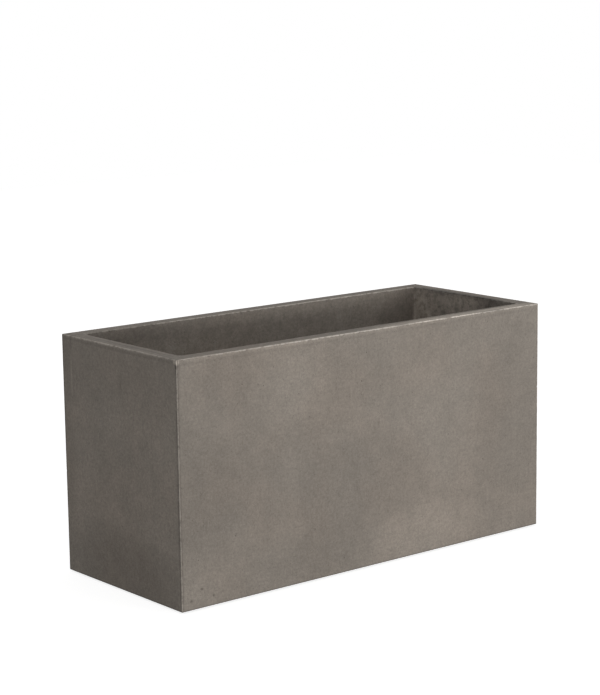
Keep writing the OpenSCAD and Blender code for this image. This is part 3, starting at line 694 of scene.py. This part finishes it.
@dataclass(frozen=True)
class ClearAcrylic:
    """Clear moulded window with light handling marks."""

    effects: Effects
    colour: Colour = (0.84, 0.88, 0.87)
    dulled: Colour = (0.74, 0.77, 0.74)
    relief: float = 0.00004

    def material(self) -> bpy.types.Material:
        """Builds the material.

        Returns:
            The window's material.
        """
        graph = Surface("clear_acrylic")
        where = graph.place()
        marks = graph.group(self.effects.scuffs, Vector=where, Scale=160.0, Amount=0.8)
        haze = graph.rise(graph.noise(where, 70.0, 3.0), 0.45, 0.75)
        return graph.dressed(
            Base_Color=graph.mix(haze, self.colour, self.dulled),
            Roughness=marks * 0.22 + 0.035,
            Normal=graph.bump(marks * -1.0, self.relief),
            Transmission_Weight=1.0,
            IOR=1.49,
        )


@dataclass(frozen=True)
class ClosedFoam:
    """Closed-cell float foam with small open pores at its skin."""

    effects: Effects
    colour: Colour = (0.70, 0.66, 0.54)
    stain_and_shade: Colour = (0.42, 0.37, 0.25)
    relief: float = 0.0003

    def material(self) -> bpy.types.Material:
        """Builds the material.

        Returns:
            The foam's material.
        """
        graph = Surface("float_foam_skin")
        where = graph.place()
        pores = graph.group(self.effects.pinholes, Vector=where, Scale=520.0, Share=0.75, Radius=0.34)
        tone = graph.group(self.effects.mottle, Vector=where, Scale=60.0, Contrast=0.22)
        stained = graph.rise(graph.noise(where, 90.0, 3.0), 0.45, 0.75)
        colour = graph.shade(graph.mix(stained * 0.4, self.colour, self.stain_and_shade), tone)
        return graph.dressed(
            Base_Color=graph.mix(pores * 0.35, colour, self.stain_and_shade),
            Roughness=pores * 0.10 + 0.80,
            Normal=graph.bump(pores * -1.0, self.relief),
        )


@dataclass(frozen=True)
class TurnedSteel:
    """Stainless pin with turning marks and a dull film."""

    effects: Effects
    colour: Colour = (0.56, 0.55, 0.53)
    film: Colour = (0.30, 0.27, 0.24)
    relief: float = 0.00003

    def material(self) -> bpy.types.Material:
        """Builds the material.

        Returns:
            The steel's material.
        """
        graph = Surface("turned_steel")
        where = graph.place()
        turning = graph.noise(graph.stretched(where, (1.0, 0.02, 0.02)), 2600.0, 2.0, 0.6)
        film = graph.rise(graph.noise(where, 130.0, 4.0, 0.6), 0.44, 0.72)
        marks = graph.group(self.effects.scuffs, Vector=where, Scale=240.0, Amount=0.6)
        return graph.dressed(
            Base_Color=graph.mix(film * 0.5, self.colour, self.film),
            Roughness=turning * 0.20 + film * 0.18 + marks * 0.2 + 0.14,
            Normal=graph.bump(turning, self.relief),
            Metallic=1.0,
        )


# Meshes


def smooth_step(value: float, start: float, stop: float) -> float:
    """Maps a value smoothly to 0 at start and 1 at stop."""
    share = min(max((value - start) / (stop - start), 0.0), 1.0)
    return share * share * (3.0 - 2.0 * share)


def round_off(
    mesh_edit: Mesh, geom: list, width: float, segments: int, affect: str = "EDGES", clamp: bool = True
) -> None:
    """Rounds edges or corners.

    Args:
        mesh_edit: Mesh that is changed.
        geom: Edges or corners.
        width: Width of the rounding.
        segments: Faces across the rounding.
        affect: EDGES or VERTICES.
        clamp: Whether roundings stop where they would meet.
    """
    bmesh.ops.bevel(
        mesh_edit,
        geom=geom,
        offset=width,
        offset_type="OFFSET",
        segments=segments,
        profile=0.5,
        affect=affect,
        clamp_overlap=clamp,
        loop_slide=not clamp,
        material=-1,
    )


def finish_piece(
    mesh_edit: Mesh, name: str, body: Body, material: bpy.types.Material, nodes: Iterable[str]
) -> None:
    """Turns a mesh into a piece that rides on a body and stands for solids.

    Args:
        mesh_edit: Finished shape, in place.
        name: Name of the piece.
        body: Body that it moves with.
        material: Its finish.
        nodes: Solids that it stands for.
    """
    mesh = bpy.data.meshes.new(name)
    mesh_edit.to_mesh(mesh)
    mesh_edit.free()
    mesh.shade_smooth()
    mesh.set_sharp_from_angle(angle=CREASE_ANGLE)
    mesh.materials.append(material)
    piece = bpy.data.objects.new(name, mesh)
    bpy.context.scene.collection.objects.link(piece)
    flats = piece.modifiers.new("flat_faces_stay_flat", "WEIGHTED_NORMAL")
    flats.keep_sharp = True
    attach(piece, body.value)
    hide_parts(*nodes)
    LOG.info("%s stands for %s, %d faces", name, ", ".join(nodes), len(mesh.polygons))


def spin_profile(mesh_edit: Mesh, profile: Iterable[Pair], centre: Pair, steps: int) -> None:
    """Spins a closed profile about an upright axis.

    Args:
        mesh_edit: Mesh that takes the shape.
        profile: Radius and height of each corner, in order around.
        centre: Place of the axis.
        steps: Faces around the axis.
    """
    corners = [mesh_edit.verts.new((centre[0] + radius, centre[1], height)) for radius, height in profile]
    edges = [mesh_edit.edges.new(pair) for pair in zip(corners, corners[1:] + corners[:1])]
    bmesh.ops.spin(
        mesh_edit,
        geom=corners + edges,
        cent=(*centre, 0.0),
        axis=(0.0, 0.0, 1.0),
        dvec=(0.0, 0.0, 0.0),
        angle=math.tau,
        steps=steps,
        use_merge=True,
    )
    bmesh.ops.remove_doubles(mesh_edit, verts=mesh_edit.verts, dist=SAME_PLACE)
    bmesh.ops.recalc_face_normals(mesh_edit, faces=mesh_edit.faces)


@dataclass(frozen=True)
class Moulding:
    """A solid that becomes a piece with rounded edges.

    Edges stay sharp under the height above, and so do edges of faces that are smaller than least_face.
    """

    node: str
    name: str
    body: Body
    slot: Slot
    edge: float
    segments: int = 2
    above: float = -1.0
    least_face: float = 0.0

    def mesh(self) -> Mesh:
        """Copies the solid's mesh and rounds its sharp edges.

        Returns:
            The rounded mesh.
        """
        mesh_edit = bmesh.new()
        mesh_edit.from_mesh(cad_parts[self.node].data)
        bmesh.ops.remove_doubles(mesh_edit, verts=mesh_edit.verts, dist=SAME_PLACE)
        parts = {"verts": mesh_edit.verts, "edges": mesh_edit.edges}
        bmesh.ops.dissolve_limit(mesh_edit, angle_limit=FLAT_ANGLE, use_dissolve_boundaries=False, **parts)
        sharp = [
            edge
            for edge in mesh_edit.edges
            if edge.is_manifold
            and edge.calc_face_angle() > SOFTENED_ANGLE
            and min(vert.co.z for vert in edge.verts) > self.above
            and min(face.calc_area() for face in edge.link_faces) > self.least_face
        ]
        round_off(mesh_edit, sharp, self.edge, self.segments, clamp=False)
        return mesh_edit

    def make(self, finishes: Finishes) -> None:
        """Builds and dresses the piece."""
        finish_piece(self.mesh(), self.name, self.body, finishes[self.slot], [self.node])


# Sub-assemblies


@dataclass(frozen=True)
class Dent:
    """A small round hollow in the shell's surface: an air pit or a knock on an arris."""

    place: Point
    radius: float
    depth: float


@dataclass(frozen=True)
class PitSpread:
    """Random air pits on one face: how many, how far to each side, at which heights and how large."""

    count: int
    reach: float
    heights: Pair
    radii: Pair
    depth: float

    def spots(self, draw: random.Random) -> list[Point]:
        """Draws the place across, the height and the radius of each pit."""
        spans = ((-self.reach, self.reach), self.heights, self.radii)
        return [tuple(draw.uniform(*span) for span in spans) for _ in range(self.count)]


@dataclass
class PlanterShell:
    """Cast trough with nicked arrises, air pits, wavy faces and pockets in its underside.

    Waves, roughness and raggedness hold a size and a scale. Octaves hold how fast they weaken, how much finer
    each is and how many there are. Margins keep the underside and the slab flat, and fades hold where the
    roughness starts and where it is full. Refining is measured in steps. Knocks hold the least radius and
    depth, and what the largest knock has more. Front pits hold a place along the face, a height and a radius.
    """

    length: float = 0.980
    width: float = 0.400
    height: float = 0.500
    ground_gap: float = 0.004
    wall: float = 0.032
    floor: float = 0.034
    arris: float = 0.0015
    foot_share: float = 0.6
    inner_corner: float = 0.008
    step: float = 0.0066
    inner_rows: tuple[int, int] = (22, 14)
    cuts: int = 3
    arris_segments: int = 3
    corner_segments: int = 4
    circle_segments: int = 48
    foot_radius: float = 0.0223
    foot_depth: float = 0.003
    nut_radius: float = 0.042
    nut_depth: float = 0.018
    barrel_radius: float = 0.0166
    waves: tuple[Pair, ...] = ((0.00018, 3.7), (0.00008, 13.0))
    roughness: Pair = (0.00022, 26.0)
    raggedness: Pair = (0.35, 420.0)
    rough_octaves: tuple[float, float, int] = (0.7, 2.0, 3)
    base_margin: float = 1e-4
    slab_margin: float = 1e-3
    inner_fade: Pair = (-0.003, -0.0005)
    rim_fade: Pair = (0.001, 0.006)
    dent_floor: float = 0.3
    refine_reach: float = 0.75
    refine_longest: float = 1.5
    seed: int = 7
    knock_spacing: float = 0.140
    knock_inset: float = 0.3
    knock_least: Pair = (0.0010, 0.0003)
    knock_more: Pair = (0.0018, 0.0005)
    pit_slope: float = 0.36
    back_pits: PitSpread = PitSpread(10, 0.46, (0.02, 0.48), (0.0014, 0.0028), 0.0010)
    end_pits: PitSpread = PitSpread(5, 0.18, (0.02, 0.20), (0.0014, 0.0024), 0.0009)
    front_pits: tuple[Point, ...] = (
        (-0.4418, 0.0416, 0.0042),
        (-0.4132, 0.0237, 0.0038),
        (-0.4673, 0.0215, 0.0042),
        (-0.4082, 0.0636, 0.0017),
        (-0.3907, 0.0277, 0.0016),
        (-0.3475, 0.0150, 0.0020),
        (-0.4753, 0.0390, 0.0016),
        (0.2096, 0.4900, 0.0016),
        (-0.1541, 0.1347, 0.0018),
        (-0.2452, 0.2767, 0.0018),
        (-0.1275, 0.3243, 0.0016),
        (-0.1184, 0.0264, 0.0018),
        (0.3837, 0.3789, 0.0018),
        (0.3981, 0.0668, 0.0018),
        (0.3241, 0.1539, 0.0017),
        (0.2431, 0.3495, 0.0016),
        (0.4355, 0.4367, 0.0017),
    )

    @property
    def top(self) -> float:
        """Height of the rim."""
        return self.ground_gap + self.height

    @property
    def inner_length(self) -> float:
        """Length of the hollow."""
        return self.length - 2 * self.wall

    @property
    def inner_width(self) -> float:
        """Width of the hollow."""
        return self.width - 2 * self.wall

    def make(self, effects: Effects) -> None:
        """Builds and dresses the shell.

        Args:
            effects: Shared shader effects.
        """
        mesh_edit = self._cast()
        dents = self._knocks() + self._pits()
        self._refine(mesh_edit, dents)
        self._weather(mesh_edit, dents)
        halves = [size / 2 for size in (self.length, self.width, self.inner_length, self.inner_width)]
        concrete = Concrete(effects, *halves, self.ground_gap, self.top).material()
        finish_piece(mesh_edit, "cast_shell", Body.PLANTER, concrete, ["planter_shell"])

    def _outline(self, mesh_edit: Mesh, length: float, width: float, radius: float, height: float) -> Loop:
        """Draws a rounded rectangle as a loop of short edges.

        Args:
            mesh_edit: Mesh that takes the loop.
            length: Size along X.
            width: Size along Y.
            radius: Rounding of the corners.
            height: Height of the loop.

        Returns:
            The edges of the loop.
        """
        before = set(mesh_edit.edges)
        size = Matrix.Translation((0.0, 0.0, height)) @ Matrix.Diagonal((length, width, 1.0, 1.0))
        made = bmesh.ops.create_grid(mesh_edit, x_segments=1, y_segments=1, size=0.5, matrix=size)
        corners = made["verts"]
        bmesh.ops.delete(mesh_edit, geom=[corners[0].link_faces[0]], context="FACES_ONLY")
        sides = list({e for v in corners for e in v.link_edges})
        round_off(mesh_edit, corners + sides, radius, self.corner_segments, "VERTICES", clamp=False)
        for side in [e for e in mesh_edit.edges if e not in before and e.calc_length() > width / 2]:
            along = self.width if side.calc_length() < width else self.length
            bmesh.ops.subdivide_edges(mesh_edit, edges=[side], cuts=round(along / self.step))
        return [e for e in mesh_edit.edges if e not in before]

    @staticmethod
    def _extend(mesh_edit: Mesh, edges: Loop, rises: Iterable[float]) -> Loop:
        """Extrudes a loop upright in rows.

        Args:
            mesh_edit: Mesh with the loop.
            edges: Edges of the loop.
            rises: Height of each row, below 0 to go down.

        Returns:
            The edges of the last row.
        """
        for rise in rises:
            grown = bmesh.ops.extrude_edge_only(mesh_edit, edges=edges)["geom"]
            verts = {g for g in grown if isinstance(g, bmesh.types.BMVert)}
            bmesh.ops.translate(mesh_edit, verts=list(verts), vec=(0.0, 0.0, rise))
            edges = [g for g in grown if isinstance(g, bmesh.types.BMEdge) and set(g.verts) <= verts]
        return edges

    def _circle(self, mesh_edit: Mesh, place: Pair, radius: float, height: float) -> Loop:
        """Draws a level circle and gives its edges."""
        at = Matrix.Translation((*place, height))
        made = bmesh.ops.create_circle(
            mesh_edit, cap_ends=False, segments=self.circle_segments, radius=radius, matrix=at
        )
        return list({e for v in made["verts"] for e in v.link_edges})

    def _cast(self) -> Mesh:
        """Builds the trough with plain faces and rounded arrises.

        Returns:
            The mesh.
        """
        mesh_edit = bmesh.new()
        bottom = self._outline(mesh_edit, self.length, self.width, self.arris, self.ground_gap)
        rows = round(self.height / self.step)
        outer_top = self._extend(mesh_edit, bottom, [self.height / rows] * rows)

        inner_top = self._outline(mesh_edit, self.inner_length, self.inner_width, self.inner_corner, self.top)
        inner_depth = self.height - self.floor
        upper, lower = self.inner_rows
        lower_step = (inner_depth - upper * self.step) / lower
        inner_bottom = self._extend(mesh_edit, inner_top, [-self.step] * upper + [-lower_step] * lower)

        bridge = bmesh.ops.bridge_loops(mesh_edit, edges=outer_top + inner_top)
        ends = set(outer_top) | set(inner_top)
        spokes = [e for e in bridge["edges"] if e not in ends]
        bmesh.ops.subdivide_edges(mesh_edit, edges=spokes, cuts=self.cuts, use_grid_fill=True)

        self._underside(mesh_edit, bottom, inner_bottom)
        bmesh.ops.recalc_face_normals(mesh_edit, faces=mesh_edit.faces)
        for loop, share in ((outer_top, 1.0), (inner_top, 1.0), (bottom, self.foot_share)):
            edges = [e for e in loop if e.is_valid]
            round_off(mesh_edit, edges, share * self.arris, self.arris_segments)
        return mesh_edit

    def _underside(self, mesh_edit: Mesh, bottom: Loop, inner_bottom: Loop) -> None:
        """Closes the slab, with its foot pockets, nut pocket and barrel hole.

        Args:
            mesh_edit: Mesh with open walls.
            bottom: Outer loop at the ground side.
            inner_bottom: Inner loop at the slab's top.
        """
        low, slab_top = self.ground_gap, self.ground_gap + self.floor
        feet = [self._circle(mesh_edit, place, self.foot_radius, low) for place in FEET]
        nut = self._circle(mesh_edit, (0.0, 0.0), self.nut_radius, low)
        rings = bottom + nut + [e for foot in feet for e in foot]
        bmesh.ops.triangle_fill(mesh_edit, edges=rings, use_beauty=True, normal=(0, 0, -1))
        for foot in feet:
            deep = self._extend(mesh_edit, foot, [self.foot_depth])
            bmesh.ops.contextual_create(mesh_edit, geom=deep)
        nut_roof = self._extend(mesh_edit, nut, [self.nut_depth])
        barrel = self._circle(mesh_edit, (0.0, 0.0), self.barrel_radius, low + self.nut_depth)
        bmesh.ops.bridge_loops(mesh_edit, edges=nut_roof + barrel)
        barrel_top = self._extend(mesh_edit, barrel, [slab_top - low - self.nut_depth])
        bmesh.ops.triangle_fill(mesh_edit, edges=inner_bottom + barrel_top, use_beauty=True, normal=(0, 0, 1))

    def _knocks(self) -> list[Dent]:
        """Spreads small knocks along every arris.

        Returns:
            The knocks.
        """
        draw = random.Random(self.seed)
        long, wide, inset = self.length / 2, self.width / 2, self.knock_inset * self.arris
        inner_long, inner_wide = self.inner_length / 2, self.inner_width / 2
        runs: list[tuple[Point, Point]] = []
        for end in (-1, 1):
            for side in (-1, 1):
                place = (end * (long - inset), side * (wide - inset))
                runs.append(((*place, self.ground_gap), (*place, self.top)))
        for height, half_x, half_y in (
            (self.top - inset, long - inset, wide - inset),
            (self.top - inset, inner_long + inset, inner_wide + inset),
            (self.ground_gap + inset, long - inset, wide - inset),
        ):
            for side in (-1, 1):
                runs.append(((-half_x, side * half_y, height), (half_x, side * half_y, height)))
                runs.append(((side * half_x, -half_y, height), (side * half_x, half_y, height)))
        knocks = []
        for start, stop in runs:
            count = round((Vector(stop) - Vector(start)).length / self.knock_spacing)
            for _ in range(count):
                spot = Vector(start).lerp(Vector(stop), draw.random())
                size = draw.random() ** 2
                sizes = (least + more * size for least, more in zip(self.knock_least, self.knock_more))
                knocks.append(Dent(tuple(spot), *sizes))
        return knocks

    def _pits(self) -> list[Dent]:
        """Places the air pits of the front, and a few on the other faces.

        Returns:
            The pits.
        """
        draw = random.Random(self.seed + 1)
        back, end = self.width / 2, self.length / 2
        pits = [Dent((x, -back, z), radius, self.pit_slope * radius) for x, z, radius in self.front_pits]
        for x, z, radius in self.back_pits.spots(draw):
            pits.append(Dent((x, back, z), radius, self.back_pits.depth))
        for side in (-1, 1):
            for y, z, radius in self.end_pits.spots(draw):
                pits.append(Dent((side * end, y, z), radius, self.end_pits.depth))
        return pits

    @staticmethod
    def _finder(dents: list[Dent]) -> kdtree.KDTree:
        """Makes a tree that finds the nearest dent."""
        tree = kdtree.KDTree(len(dents))
        for index, dent in enumerate(dents):
            tree.insert(dent.place, index)
        tree.balance()
        return tree

    def _refine(self, mesh_edit: Mesh, dents: list[Dent]) -> None:
        """Splits the faces around the dents into small ones.

        Args:
            mesh_edit: Mesh of the shell.
            dents: Hollows that need room.
        """
        tree = self._finder(dents)
        reach, longest = self.refine_reach * self.step, self.refine_longest * self.step
        near = []
        for edge in mesh_edit.edges:
            middle = (edge.verts[0].co + edge.verts[1].co) / 2
            _, index, away = tree.find(middle)
            if away < dents[index].radius + reach and edge.calc_length() < longest:
                near.append(edge)
        bmesh.ops.subdivide_edges(mesh_edit, edges=near, cuts=self.cuts, use_grid_fill=True)

    def _weather(self, mesh_edit: Mesh, dents: list[Dent]) -> None:
        """Gives the cast faces their waves and hollows, and the inner walls their roughness.

        Args:
            mesh_edit: Mesh of the shell.
            dents: Hollows to press in.
        """
        mesh_edit.normal_update()
        # Dent mask, which the concrete reads to paint shade in the pits and knocks
        depth_layer = mesh_edit.verts.layers.float.new(HOLLOW)
        tree = self._finder(dents)
        rough_height, rough_scale = self.roughness
        rag_share, rag_scale = self.raggedness
        moves = []
        for vert in mesh_edit.verts:
            x, y, z = vert.co
            to_top, to_base = self.top - z, z - self.ground_gap
            past_inner = min(self.inner_length / 2 - abs(x), self.inner_width / 2 - abs(y))
            if to_base < self.base_margin or min(past_inner, to_top) > self.slab_margin:
                continue
            inside = smooth_step(past_inner, *self.inner_fade) * smooth_step(to_top, *self.rim_fade)
            wave = sum(height * noise.noise(vert.co * scale) for height, scale in self.waves)
            rough = rough_height * noise.fractal(vert.co * rough_scale, *self.rough_octaves)
            _, index, away = tree.find(vert.co)
            dent = dents[index]
            ragged = 1.0 + rag_share * noise.noise(vert.co * rag_scale)
            share = smooth_step(away, dent.radius * ragged, self.dent_floor * dent.radius)
            vert[depth_layer] = share
            moves.append((vert, wave * (1.0 - inside) + rough * inside - share * dent.depth))
        for vert, out in moves:
            vert.co += vert.normal * out


@dataclass
class FootPads:
    """Four rubber pads with a rounded tread edge and a grip groove.

    The shares say how much of the groove's width its floor takes up, and where the tread edge is cut.
    """

    radius: float = 0.022
    height: float = 0.007
    rounding: float = 0.0012
    groove_radius: float = 0.0135
    groove_width: float = 0.003
    groove_depth: float = 0.001
    floor_share: float = 0.6
    cut_share: float = 0.3
    steps: int = 56

    def make(self, rubber: bpy.types.Material) -> None:
        """Builds and dresses the four pads as one piece.

        Args:
            rubber: Their finish.
        """
        edge, groove = self.rounding, self.groove_width / 2
        cut, floor = self.cut_share * edge, self.floor_share * groove
        profile = [
            (0.0, 0.0),
            (self.groove_radius - groove, 0.0),
            (self.groove_radius - floor, self.groove_depth),
            (self.groove_radius + floor, self.groove_depth),
            (self.groove_radius + groove, 0.0),
            (self.radius - edge, 0.0),
            (self.radius - cut, cut),
            (self.radius, edge),
            (self.radius, self.height),
            (0.0, self.height),
        ]
        mesh_edit = bmesh.new()
        for place in FEET:
            spin_profile(mesh_edit, profile, place, self.steps)
        finish_piece(mesh_edit, "foot_pad_set", Body.PLANTER, rubber, ["foot_pads"])


class Assembly:
    """A sub-assembly of pieces that keep the shapes of their solids."""

    pieces: tuple[Moulding, ...] = ()

    def make(self, finishes: Finishes) -> None:
        """Builds and dresses the pieces in order."""
        for piece in self.pieces:
            piece.make(finishes)


class WaterTank(Assembly):
    """Drafted tub with its drain: fitting, gasket, washer and nut clamped through the slab."""

    pieces = (
        Moulding("reservoir_tank", "tank_tub", Body.PLANTER, Slot.TANK, 0.0009, 3, least_face=SLIVER),
        Moulding("drain_fitting", "drain_body", Body.PLANTER, Slot.TUBE, 0.0005),
        Moulding("drain_gasket", "drain_gasket_ring", Body.PLANTER, Slot.RUBBER, 0.0007),
        Moulding("drain_washer", "drain_washer_ring", Body.PLANTER, Slot.RUBBER, 0.0007),
        Moulding("drain_nut", "drain_hex_nut", Body.PLANTER, Slot.TUBE, 0.0008),
    )


class Standpipe(Assembly):
    """Push-in overflow pipe with its strainer and round seal."""

    pieces = (
        Moulding("overflow_pipe", "overflow_standpipe", Body.OVERFLOW, Slot.TUBE, 0.0004),
        Moulding("overflow_strainer", "strainer_cage", Body.OVERFLOW, Slot.TUBE, 0.0003),
        Moulding("overflow_seal", "overflow_ring", Body.OVERFLOW, Slot.RUBBER, 0.0004),
    )


class SoilDeck(Assembly):
    """One perforated deck with its four posts and two hanging soil cups."""

    edge: float = 0.0005

    def __init__(self, side: Side, cups: tuple[int, int]) -> None:
        """Lists the pieces of the deck.

        Args:
            side: End of the trough that it fills.
            cups: Numbers of its cups.
        """
        end = side.value
        body = Body("deck_" + end)
        deck = Moulding("deck_" + end, "soil_deck_" + end, body, Slot.DECK, self.edge)
        posts = Moulding("deck_posts_" + end, "post_set_" + end, body, Slot.TUBE, self.edge)
        hung = (Moulding(f"wick_cup_{cup}", f"soil_cup_{cup}", body, Slot.DECK, self.edge) for cup in cups)
        self.pieces = (deck, posts, *hung)


@dataclass(frozen=True)
class RibbedCap(Moulding):
    """The flip cap, with three low ribs on its thumb tab."""

    rib_place: Point = (0.405, -0.1520, 0.4681)
    rib_size: Point = (0.0104, 0.0010, 0.0012)
    rib_pitch: float = 0.0019
    rib_edge: float = 0.0003

    def mesh(self) -> Mesh:
        """Adds the ribs to the rounded solid.

        Returns:
            The ribbed mesh.
        """
        mesh_edit = super().mesh()
        for step in (-1, 0, 1):
            place = Vector(self.rib_place) + Vector((0.0, step * self.rib_pitch, 0.0))
            size = Matrix.Translation(place) @ Matrix.Diagonal((*self.rib_size, 1.0))
            made = bmesh.ops.create_cube(mesh_edit, size=1.0, matrix=size)
            round_off(mesh_edit, list({e for v in made["verts"] for e in v.link_edges}), self.rib_edge, 2)
        return mesh_edit


class FillingTube(Assembly):
    """Upright filling tube with sharp arched feet, in its socket, with clip, funnel and flip cap."""

    pieces = (
        Moulding("tube_base", "tube_socket", Body.DECK_RIGHT, Slot.TUBE, 0.0005),
        Moulding("tube_clip", "tube_pair_clip", Body.DECK_RIGHT, Slot.TUBE, 0.0005),
        Moulding("fill_tube", "filling_tube", Body.DECK_RIGHT, Slot.TUBE, 0.0004, above=0.100),
        Moulding("fill_funnel", "filling_funnel", Body.DECK_RIGHT, Slot.TUBE, 0.0005, least_face=SLIVER),
        Moulding("cap_hinge_pin", "hinge_pin", Body.DECK_RIGHT, Slot.STEEL, 0.0003),
        Moulding("cap_seal", "cap_gasket", Body.FILL_CAP, Slot.RUBBER, 0.0003),
        RibbedCap("fill_cap", "flip_cap", Body.FILL_CAP, Slot.TUBE, 0.0006, 3),
    )


class FloatGauge(Assembly):
    """Float gauge: upright, clear window with level rings and cap, and the float with its rod and flag."""

    pieces = (
        Moulding("gauge_tube", "gauge_upright", Body.DECK_RIGHT, Slot.TUBE, 0.0004),
        Moulding("gauge_foot", "gauge_foot_plug", Body.DECK_RIGHT, Slot.TUBE, 0.0004),
        Moulding("gauge_window", "gauge_clear_window", Body.DECK_RIGHT, Slot.CLEAR, 0.0003),
        Moulding("gauge_rings", "gauge_level_rings", Body.DECK_RIGHT, Slot.WHITE, 0.0002),
        Moulding("gauge_cap", "gauge_top_cap", Body.DECK_RIGHT, Slot.TUBE, 0.0006),
        Moulding("gauge_float", "gauge_foam_float", Body.FLOAT, Slot.FOAM, 0.0012, 3),
        Moulding("gauge_rod", "gauge_thin_rod", Body.FLOAT, Slot.WHITE, 0.0004),
        Moulding("gauge_flag", "gauge_red_flag", Body.FLOAT, Slot.FLAG, 0.0008, 3),
    )


# Scene around the part


def direction(turn: float, lift: float) -> Vector:
    """Points from the part towards the front, turned about Z and lifted above the ground."""
    level = math.cos(lift)
    return Vector((math.sin(turn) * level, -math.cos(turn) * level, math.sin(lift)))


@dataclass
class Studio:
    """Floor, light and the camera of the photograph."""

    floor_size: float = 14.0
    floor_tone: float = 0.50
    floor_glow: float = 0.80
    sky_low: float = 0.90
    sky_high: float = 0.45
    key_power: float = 134.0
    key_turn: float = math.radians(22.0)
    key_lift: float = math.radians(2.5)
    key_distance: float = 5.0
    key_size: Pair = (2.6, 0.9)
    key_target: Point = (0.0, 0.0, 0.25)
    camera_turn: float = math.radians(-39.104)
    camera_lift: float = math.radians(10.336)
    camera_roll: float = math.radians(-0.768)
    camera_distance: float = 4.353
    camera_target: Point = (-0.0236, 0.0, 0.4433)
    camera_lens: float = 106.28

    def make(self) -> None:
        """Builds everything around the part."""
        scene = bpy.context.scene
        scene.view_settings.view_transform = "Standard"
        self._floor()
        self._sky(scene)
        self._key()
        self._camera(scene)

    @staticmethod
    def _seen(graph: Graph) -> Term:
        """Gives 1 for rays of the camera, of reflections and through glass."""
        path = graph.node("LightPath")
        shiny = graph.most(graph.term(path, "Is Glossy Ray"), graph.term(path, "Is Transmission Ray"))
        return graph.most(graph.term(path, "Is Camera Ray"), shiny)

    def _floor(self) -> None:
        """Lays a pale floor that keeps a soft shadow."""
        mesh_edit = bmesh.new()
        bmesh.ops.create_grid(mesh_edit, x_segments=8, y_segments=8, size=self.floor_size / 2)
        mesh = bpy.data.meshes.new("studio_floor")
        mesh_edit.to_mesh(mesh)
        mesh_edit.free()
        made = bpy.data.materials.new("pale_floor")
        made.use_nodes = True
        graph = Graph(made.node_tree)
        dull = graph.node("BsdfDiffuse", Color=(*[self.floor_tone] * 3, 1.0))
        strength = self._seen(graph) * self.floor_glow
        glow = graph.node("Emission", Color=(1.0, 1.0, 1.0, 1.0), Strength=strength)
        both = graph.node("AddShader")
        graph.feed(both.inputs[0], graph.term(dull))
        graph.feed(both.inputs[1], graph.term(glow))
        graph.feed(graph.node("OutputMaterial").inputs["Surface"], graph.term(both))
        mesh.materials.append(made)
        floor = bpy.data.objects.new("studio_floor", mesh)
        bpy.context.scene.collection.objects.link(floor)

    def _sky(self, scene: bpy.types.Scene) -> None:
        """Sets a sky that dims overhead and that the camera sees as white."""
        world = bpy.data.worlds.new("studio_sky")
        world.use_nodes = True
        scene.world = world
        graph = Graph(world.node_tree)
        rising = graph.axes(graph.term(graph.node("TexCoord"), "Generated"))[2]
        light = graph.rise(rising, 0.0, 0.9, self.sky_low, self.sky_high)
        strength = light + self._seen(graph) * (1.0 - light)
        glow = graph.node("Background", Color=(1.0, 1.0, 1.0, 1.0), Strength=strength)
        graph.feed(graph.node("OutputWorld").inputs["Surface"], graph.term(glow))

    def _key(self) -> None:
        """Hangs a broad soft lamp low at the front right."""
        lamp = bpy.data.lights.new("soft_key", "AREA")
        lamp.shape = "RECTANGLE"
        lamp.size, lamp.size_y = self.key_size
        lamp.energy = self.key_power
        towards = direction(self.key_turn, self.key_lift)
        made = bpy.data.objects.new("soft_key", lamp)
        made.location = Vector(self.key_target) + towards * self.key_distance
        made.rotation_euler = towards.to_track_quat("Z", "Y").to_euler()
        made.visible_camera = False
        bpy.context.scene.collection.objects.link(made)

    def _camera(self, scene: bpy.types.Scene) -> None:
        """Sets the camera at the photograph's viewing angle."""
        lens = bpy.data.cameras.new("photo_camera")
        lens.sensor_width = 36.0
        lens.lens = self.camera_lens
        lens.clip_end = 60.0
        back = direction(self.camera_turn, self.camera_lift)
        place = Vector(self.camera_target) + back * self.camera_distance
        turn = (-back).to_track_quat("-Z", "Y").to_matrix().to_4x4()
        made = bpy.data.objects.new("photo_camera", lens)
        made.matrix_world = Matrix.Translation(place) @ turn @ Matrix.Rotation(self.camera_roll, 4, "Z")
        scene.collection.objects.link(made)
        scene.camera = made


def main() -> None:
    """Builds every sub-assembly in order."""
    logging.basicConfig(level=logging.INFO, format="%(name)s: %(message)s")
    Studio().make()
    effects = Effects.build()
    rubber = Rubber(effects).material()
    finishes: Finishes = {
        Slot.TANK: MouldedPlastic("tank_moulding", effects, (0.050, 0.050, 0.052)).material(),
        Slot.DECK: MouldedPlastic("deck_moulding", effects, (0.092, 0.095, 0.095)).material(),
        Slot.TUBE: MouldedPlastic("tube_moulding", effects, (0.155, 0.160, 0.158)).material(),
        Slot.WHITE: MouldedPlastic("white_moulding", effects, (0.68, 0.68, 0.65), dust=0.2).material(),
        Slot.FLAG: MouldedPlastic("flag_moulding", effects, (0.52, 0.05, 0.018), roughness=0.3).material(),
        Slot.RUBBER: rubber,
        Slot.CLEAR: ClearAcrylic(effects).material(),
        Slot.FOAM: ClosedFoam(effects).material(),
        Slot.STEEL: TurnedSteel(effects).material(),
    }
    PlanterShell().make(effects)
    FootPads().make(rubber)
    decks = (SoilDeck(Side.LEFT, (1, 2)), SoilDeck(Side.RIGHT, (3, 4)))
    for assembly in (WaterTank(), Standpipe(), *decks, FillingTube(), FloatGauge()):
        assembly.make(finishes)


if __name__ == "__main__":
    main()
